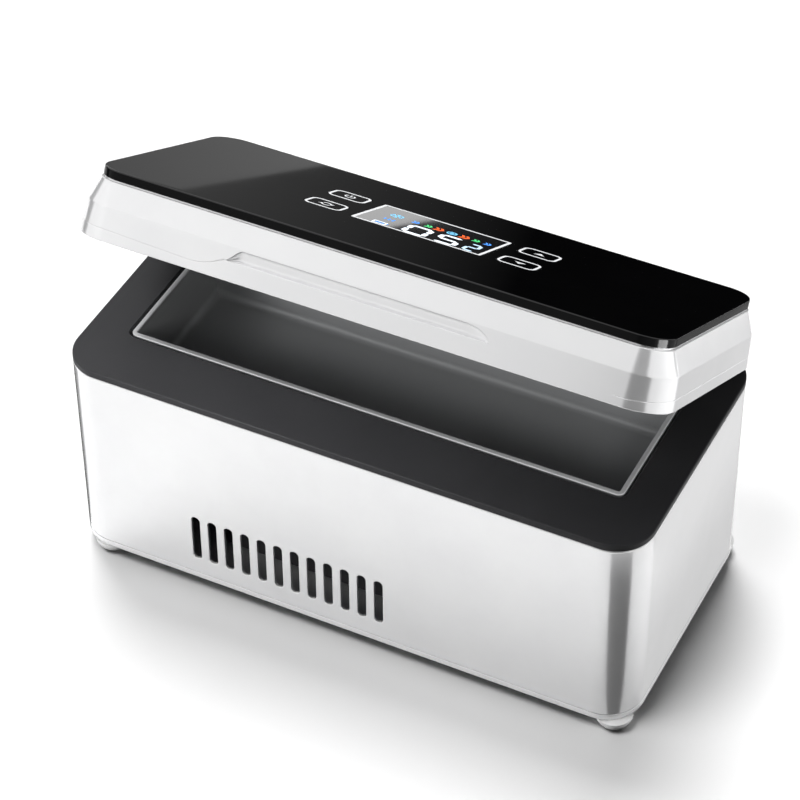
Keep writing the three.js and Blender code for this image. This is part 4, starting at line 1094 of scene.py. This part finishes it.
# The white ink glows a little too; on the keys, where it is print, that glow is painted light.
glowing_white_ink = lit_ink("glowing_white_ink", (0.8, 0.81, 0.83), 0.3)
lit_white = lit_ink("lit_white", (0.86, 0.93, 1.0), 0.75)
lit_pale = lit_ink("lit_pale", (0.6, 0.8, 1.0), 0.6)
lit_blue = lit_ink("lit_blue", (0.08, 0.32, 0.95), 0.7)
lit_sky = lit_ink("lit_sky", (0.2, 0.62, 0.95), 0.7)
lit_green = lit_ink("lit_green", (0.1, 0.75, 0.25), 0.6)
lit_red = lit_ink("lit_red", (0.85, 0.13, 0.03), 0.6)

window_section = softened([(0, window_low, 0), (0, window_high, 0.12), (1, window_high, 0)])
display_window = new_piece(
    "display_window_plate",
    moulded(window_section, window_size, y=window_y, arcs=window_arcs),
    smoked_lens,
)
even_faces(display_window)
raise_lid(display_window, "lid", "display_window", slot="smoked_lens")
lamp_reach["window_only"].objects.link(display_window)


def print_piece(name, ink, shapes=(), lines=(), body="lid"):
    """One thin inlay: filled shapes from outlines, and lines from pairs of outer and inner outlines."""
    builder = bmesh.new()
    for shape in shapes:
        loft([[(x, y + case_y, z) for x, y in shape] for z in (ink_low, ink_top)], builder=builder)
    for outer, inner in lines:
        edges = ((outer, ink_low), (outer, ink_top), (inner, ink_top), (inner, ink_low))
        loft([[(x, y + case_y, z) for x, y in edge] for edge, z in edges], closed=True, builder=builder)
    piece = new_piece(name, builder, ink)
    for face in piece.data.polygons:
        face.use_smooth = False
    raise_lid(piece, body, slot="smoked_lens")


def frame_line(half_x, half_y, radius, stroke, inner_radius, x, y, arcs=window_arcs):
    """The outer and the inner outline of a line round a rectangle or ring."""
    outer = oblong(half_x, half_y, radius, x, y, arcs)
    return outer, oblong(half_x - stroke, half_y - stroke, inner_radius, x, y, arcs)


readout_frame = frame_line(frame_half_x, frame_half_y, frame_corner, frame_stroke, 0.2, 0, window_y)
print_piece("display_frame_line", glowing_white_ink, lines=[readout_frame])

lit_segments = {"0": "abcdef", "2": "abged", "5": "afgcd"}


def segment_bars(number, left, low, wide, tall, stroke):
    """The seven-bar strokes of one number, as outlines with pointed ends."""
    half = stroke / 2
    x_low = left + half
    x_high = left + wide - half
    y_low = low + half
    y_mid = low + tall / 2
    y_high = low + tall - half
    lines = {
        "a": (x_low, y_high, x_high, y_high),
        "b": (x_high, y_mid, x_high, y_high),
        "c": (x_high, y_low, x_high, y_mid),
        "d": (x_low, y_low, x_high, y_low),
        "e": (x_low, y_low, x_low, y_mid),
        "f": (x_low, y_mid, x_low, y_high),
        "g": (x_low, y_mid, x_high, y_mid),
    }
    bars = []
    for segment in lit_segments[number]:
        x0, y0, x1, y1 = lines[segment]
        along = Vector((x1 - x0, y1 - y0)).normalized()
        across = Vector((-along.y, along.x))
        start = Vector((x0, y0)) + along * stroke_gap
        end = Vector((x1, y1)) - along * stroke_gap
        points = (
            start,
            start + (along - across) * half,
            end - (along + across) * half,
            end,
            end - (along - across) * half,
            start + (along + across) * half,
        )
        bars.append([(point.x + digit_lean * point.y, point.y) for point in points])
    return bars


large_numbers = segment_bars("0", -6.9, -11.3, 9.0, 12.7, 1.75)
large_numbers += segment_bars("5", 4.5, -11.2, 8.6, 12.7, 1.75)
print_piece("display_large_numbers", lit_white, large_numbers)
print_piece("display_small_number", lit_pale, segment_bars("2", 15.4, -10.9, 4.8, 11.2, 1.15))


def chevron(x, y, wide, tall):
    """One arrowhead stroke that points to the right."""
    left = x - wide / 2
    low = y - tall / 2
    high = y + tall / 2
    return [(left, low), (x, low), (x + wide / 2, y), (x, high), (left, high), (x, y)]


chevron_row_y = 5.4
chevron_step = 0.4
# Each group has its places along the row, the width and height of its strokes, and its ink.
chevron_groups = {
    "display_chevrons_blue": ((-7.2, 19.4), 1.5, 3.0, lit_blue),
    "display_chevrons_green": ((-2.4, 15.2), 1.5, 3.0, lit_green),
    "display_chevrons_red": ((1.4, 10.9), 2.1, 4.4, lit_red),
}
for group_name, (places, wide, tall, ink) in chevron_groups.items():
    row = [x + shift * wide for x in places for shift in (-chevron_step, chevron_step)]
    print_piece(group_name, ink, [chevron(x, chevron_row_y, wide, tall) for x in row])

ring_x = 6.2
ring_lines = [
    frame_line(1.9, 1.9, 1.89, 0.55, 1.34, ring_x, chevron_row_y),
    frame_line(0.8, 0.8, 0.79, 0.5, 0.29, ring_x, chevron_row_y),
]
print_piece("display_ring_sign", lit_sky, lines=ring_lines)


def toward(angle):
    """One step along an angle."""
    return Vector((math.cos(angle), math.sin(angle)))


def bar_at(x, y, length, stroke, angle):
    """A straight stroke about a middle point."""
    along = toward(angle) * length / 2
    across = Vector((-math.sin(angle), math.cos(angle))) * stroke / 2
    corners = (along + across, across - along, -along - across, along - across)
    return [(x + corner.x, y + corner.y) for corner in corners]


star_middle = Vector((-14.5, 6.0))
star_hub = 0.35
star_arm = 2.1
star_stroke = 0.42
twig_at = 1.75
twig_out = 0.62
twig_size = (0.75, 0.34)
star_bars = []
for i in range(6):
    angle = i * math.pi / 3 + math.pi / 6
    arm = star_middle + toward(angle) * (star_hub + star_arm / 2)
    star_bars.append(bar_at(*arm, star_arm, star_stroke, angle))
    for turn in (angle - math.pi / 3, angle + math.pi / 3):
        twig = star_middle + toward(angle) * twig_at + toward(turn) * twig_out
        star_bars.append(bar_at(*twig, *twig_size, turn))
print_piece("display_cold_star", lit_sky, star_bars)

level_x = -15.7
level_y = -1.6
level_step = 1.5
level_wide = 0.7
level_talls = (2.0, 2.35, 2.7)
level_bars = []
for i, tall in enumerate(level_talls):
    level_bars.append(bar_at(level_x + i * level_step, level_y, level_wide, tall, 0))
print_piece("display_level_bars", lit_blue, level_bars)

cell_x = -14.4
cell_y = -9.2
cell_line = frame_line(2.5, 1.7, 0.3, 0.55, 0.1, cell_x, cell_y, 3)
print_piece("display_cell_sign", lit_white, lines=[cell_line])
cell_bar_size = (0.75, 1.5)
cell_tip_size = (0.4, 1.3)
cell_fill = [bar_at(cell_x + shift, cell_y, *cell_bar_size, 0) for shift in (-1.1, 0.0, 1.1)]
cell_fill.append(bar_at(cell_x + 2.8, cell_y, *cell_tip_size, 0))
print_piece("display_cell_fill", lit_blue, cell_fill)

# Keys
# Four push keys of the same black acrylic, each held under the panel by its flange. A white line is printed
# round each cap, with a power sign, a cycle sign and two triangles in the middle. The print glows a little,
# which is painted light.
cap_high = panel_high - 0.03
key_arcs = 10
key_flange_high = 108.8
key_flange_low = 107.8
key_flange_wide = 0.8
stem_low = 107.4
stem_inset = key_flange_wide + key_half_y * 0.6
outline_inset = 0.25
outline_stroke = 0.88
sign_radius = 1.7
sign_stroke = 0.55
arc_steps = 28
triangle_wide = 3.9
triangle_tall = 2.1

cap_section = softened([
    (stem_inset, stem_low, 0),
    (stem_inset, key_flange_low, 0),
    (0, key_flange_low, 0.1),
    (0, key_flange_high, 0.1),
    (key_flange_wide, key_flange_high, 0),
    (key_flange_wide, cap_high, 0.22),
    (key_flange_wide + 1.5, cap_high, 0),
])


def sign_arc(x, y, from_angle, to_angle):
    """Part of a circle drawn with the sign's stroke, between two angles in degrees."""
    sides = ([], [])
    for i in range(arc_steps + 1):
        angle = math.radians(from_angle + (to_angle - from_angle) * i / arc_steps)
        for side, radius in zip(sides, (sign_radius + sign_stroke / 2, sign_radius - sign_stroke / 2)):
            side.append((x + radius * math.cos(angle), y + radius * math.sin(angle)))
    return sides[0] + sides[1][::-1]


def triangle(x, y, wide, tall):
    """A triangle that points up, or down if its height is negative."""
    return [(x - wide / 2, y - tall / 2), (x + wide / 2, y - tall / 2), (x, y + tall / 2)]


def key_signs(name, x, y):
    """The sign in the middle of a key."""
    if name == "power":
        return [sign_arc(x, y, 125, 415), bar_at(x, y + 1.1, 2.0, sign_stroke, math.pi / 2)]
    if name == "auto":
        signs = []
        for turn in (0, 180):
            signs.append(sign_arc(x, y, 25 + turn, 150 + turn))
            tip = Vector((x, y)) + toward(math.radians(10 + turn)) * sign_radius
            spin = Matrix.Rotation(math.radians(turn), 2)
            signs.append([tuple(tip + spin @ Vector(point)) for point in triangle(0, 0, 1.9, -1.3)])
        return signs
    return [triangle(x, y, triangle_wide, triangle_tall if name == "up" else -triangle_tall)]


for key_name, (x, y) in key_places.items():
    body_name = "key_" + key_name
    cap_size = [length + key_flange_wide for length in key_size]
    cap = new_piece(body_name + "_cap", moulded(cap_section, cap_size, x, y, key_arcs), black_gloss)
    even_faces(cap)
    raise_lid(cap, body_name, body_name, slot="black_gloss")
    line_size = [length - outline_inset for length in key_size]
    cap_line = frame_line(*line_size, outline_stroke, line_size[2] - outline_stroke, x, y, key_arcs)
    print_piece(body_name + "_outline", glowing_white_ink, lines=[cap_line], body=body_name)
    print_piece(body_name + "_sign", glowing_white_ink, key_signs(key_name, x, y), body=body_name)

# Lid liner
# The dark inner cover of the lid, moulded in one piece with a hollow plug that drops into the mouth of the
# tray. Six screws hold it, and it is notched round the hinges.
liner_half_x = 104.2
liner_size = (liner_half_x, 48.9, 10.7)
liner_low = 90.8
liner_high = 92.8
plug_half_x = 88.5
plug_size = (plug_half_x, 25.7, 3)
plug_low = 85.5
plug_wall = 1.6
plug_inset = liner_half_x - plug_half_x
plug_ceiling = plug_low + plug_wall
lid_screw_bore = 1.55
lid_screw_places = [(-99, -33), (99, -33), (-99, 33), (99, 33), (0, -41), (0, 41)]
notch_room = 2 * knuckle_gap
notch_front = axis_y - knuckle_radius - notch_room
notch_half = knuckle_span + notch_room
liner_cut = (liner_low - 1, liner_high + 1)

liner_section = softened([
    (plug_inset + plug_wall + 1, plug_ceiling, 0),
    (plug_inset + plug_wall, plug_ceiling, 0.4),
    (plug_inset + plug_wall, liner_high, 0.3),
    (0, liner_high, 0.3),
    (0, liner_low, 0.5),
    (plug_inset, liner_low, 0.8),
    (plug_inset, plug_low, 1.0),
    (plug_inset + 2, plug_low, 0),
])


def liner_outline(inset, height):
    """The outer half of the section follows the lid, and the inner half the plug."""
    if inset < plug_inset / 2:
        return inset_oblong(liner_size, inset)
    return inset_oblong(plug_size, inset - plug_inset)


lid_liner = new_piece("lid_liner_cover", run_round(liner_section, liner_outline), dark_satin)
liner_cuts = [straight_bar(circle(lid_screw_bore, x, y + case_y), *liner_cut, 2) for x, y in lid_screw_places]
for x in hinge_places:
    notch = rectangle(x - notch_half, notch_front, x + notch_half, rear_past)
    liner_cuts.append(straight_bar(notch, *liner_cut, 2))
work_with(lid_liner, liner_cuts, "DIFFERENCE")
even_faces(lid_liner)
raise_lid(lid_liner, "lid", "lid_liner", slot="dark_satin")

# Lid seal
# A grey silicone ring under the liner that closes on the bezel round the mouth. Its section is a soft pad
# with a groove along its face.
seal_size = (93.2, 30.4, 3.6)
seal_wide = 3
seal_low = 88.8
seal_high = 90.5
seal_arcs = 8

grey_silicone = moulded_plastic("grey_silicone", (0.2, 0.205, 0.21), (0.17, 0.175, 0.18), 0.6, 0.2, 1200.0)
seal_section = softened([
    (0, seal_high, 0.2),
    (0, seal_low, 0.6),
    (1.1, seal_low, 0.4),
    (1.5, seal_low + 0.45, 0.2),
    (1.9, seal_low, 0.4),
    (seal_wide, seal_low, 0.6),
    (seal_wide, seal_high, 0.2),
], closed=True)
lid_seal = new_piece(
    "lid_seal_ring", moulded(seal_section, seal_size, arcs=seal_arcs, closed=True), grey_silicone
)
even_faces(lid_seal)
raise_lid(lid_seal, "lid", "lid_seal", slot="seal")

# Screws
# Steel pan-head screws with a cross recess: four close the base cover from below, and six hold the lid
# liner.
head_radius = 2.6
recess_long = 1.5
recess_wide = 0.42
recess_deep = 0.9
recess_past = 0.2
screw_steps = 32
base_screw_seat = 6.6
lid_screw_seat = 90.5


def screw_mesh(name, head_thick, shank_radius, length):
    """A screw that points up, with the underside of its head at height zero."""
    section = softened([
        (0, -head_thick, 0),
        (head_radius * 0.62, -head_thick, 0.5),
        (head_radius, -head_thick * 0.35, 0.3),
        (head_radius, 0, 0.1),
        (shank_radius, 0, 0.1),
        (shank_radius, length - 1, 0.1),
        (0, length, 0),
    ])
    screw = new_piece(name, turned(section, steps=screw_steps), plain_steel)
    ends = (
        (-head_thick - recess_past, recess_long * 2, recess_wide),
        (-head_thick + recess_deep, recess_long, recess_wide * 0.7),
    )
    arms = []
    for angle in (0, math.pi / 2):
        arms.append(loft([[(x, y, z) for x, y in bar_at(0, 0, long, wide, angle)] for z, long, wide in ends]))
    work_with(screw, arms, "DIFFERENCE")
    even_faces(screw)
    mesh = screw.data
    bpy.data.objects.remove(screw)
    return mesh


def set_screws(body, prefix, mesh, places, seat, swung):
    """Sets a screw of its own in the place of each CAD screw."""
    for (x, y), place_name in zip(places, screw_names):
        screw = add_object(prefix + place_name + "_cross", mesh)
        screw.matrix_world = swung @ Matrix.Translation(Vector((x, y + case_y, seat)) * mm)
        mount_piece(screw, body, prefix + place_name, slot="steel")


screw_names = ("front_left", "front_right", "rear_left", "rear_right", "front_middle", "rear_middle")
base_screw = screw_mesh("base_screw", 1.3, 1.2, 12)
lid_screw = screw_mesh("lid_screw", 1.1, 1.1, 7)
set_screws("case", "base_screw_", base_screw, screw_places, base_screw_seat, Matrix.Identity(4))
set_screws("lid", "lid_screw_", lid_screw, lid_screw_places, lid_screw_seat, lid_place)
painted_nodes(plain_steel, *["display_screw_" + name for name in screw_names[:4]])
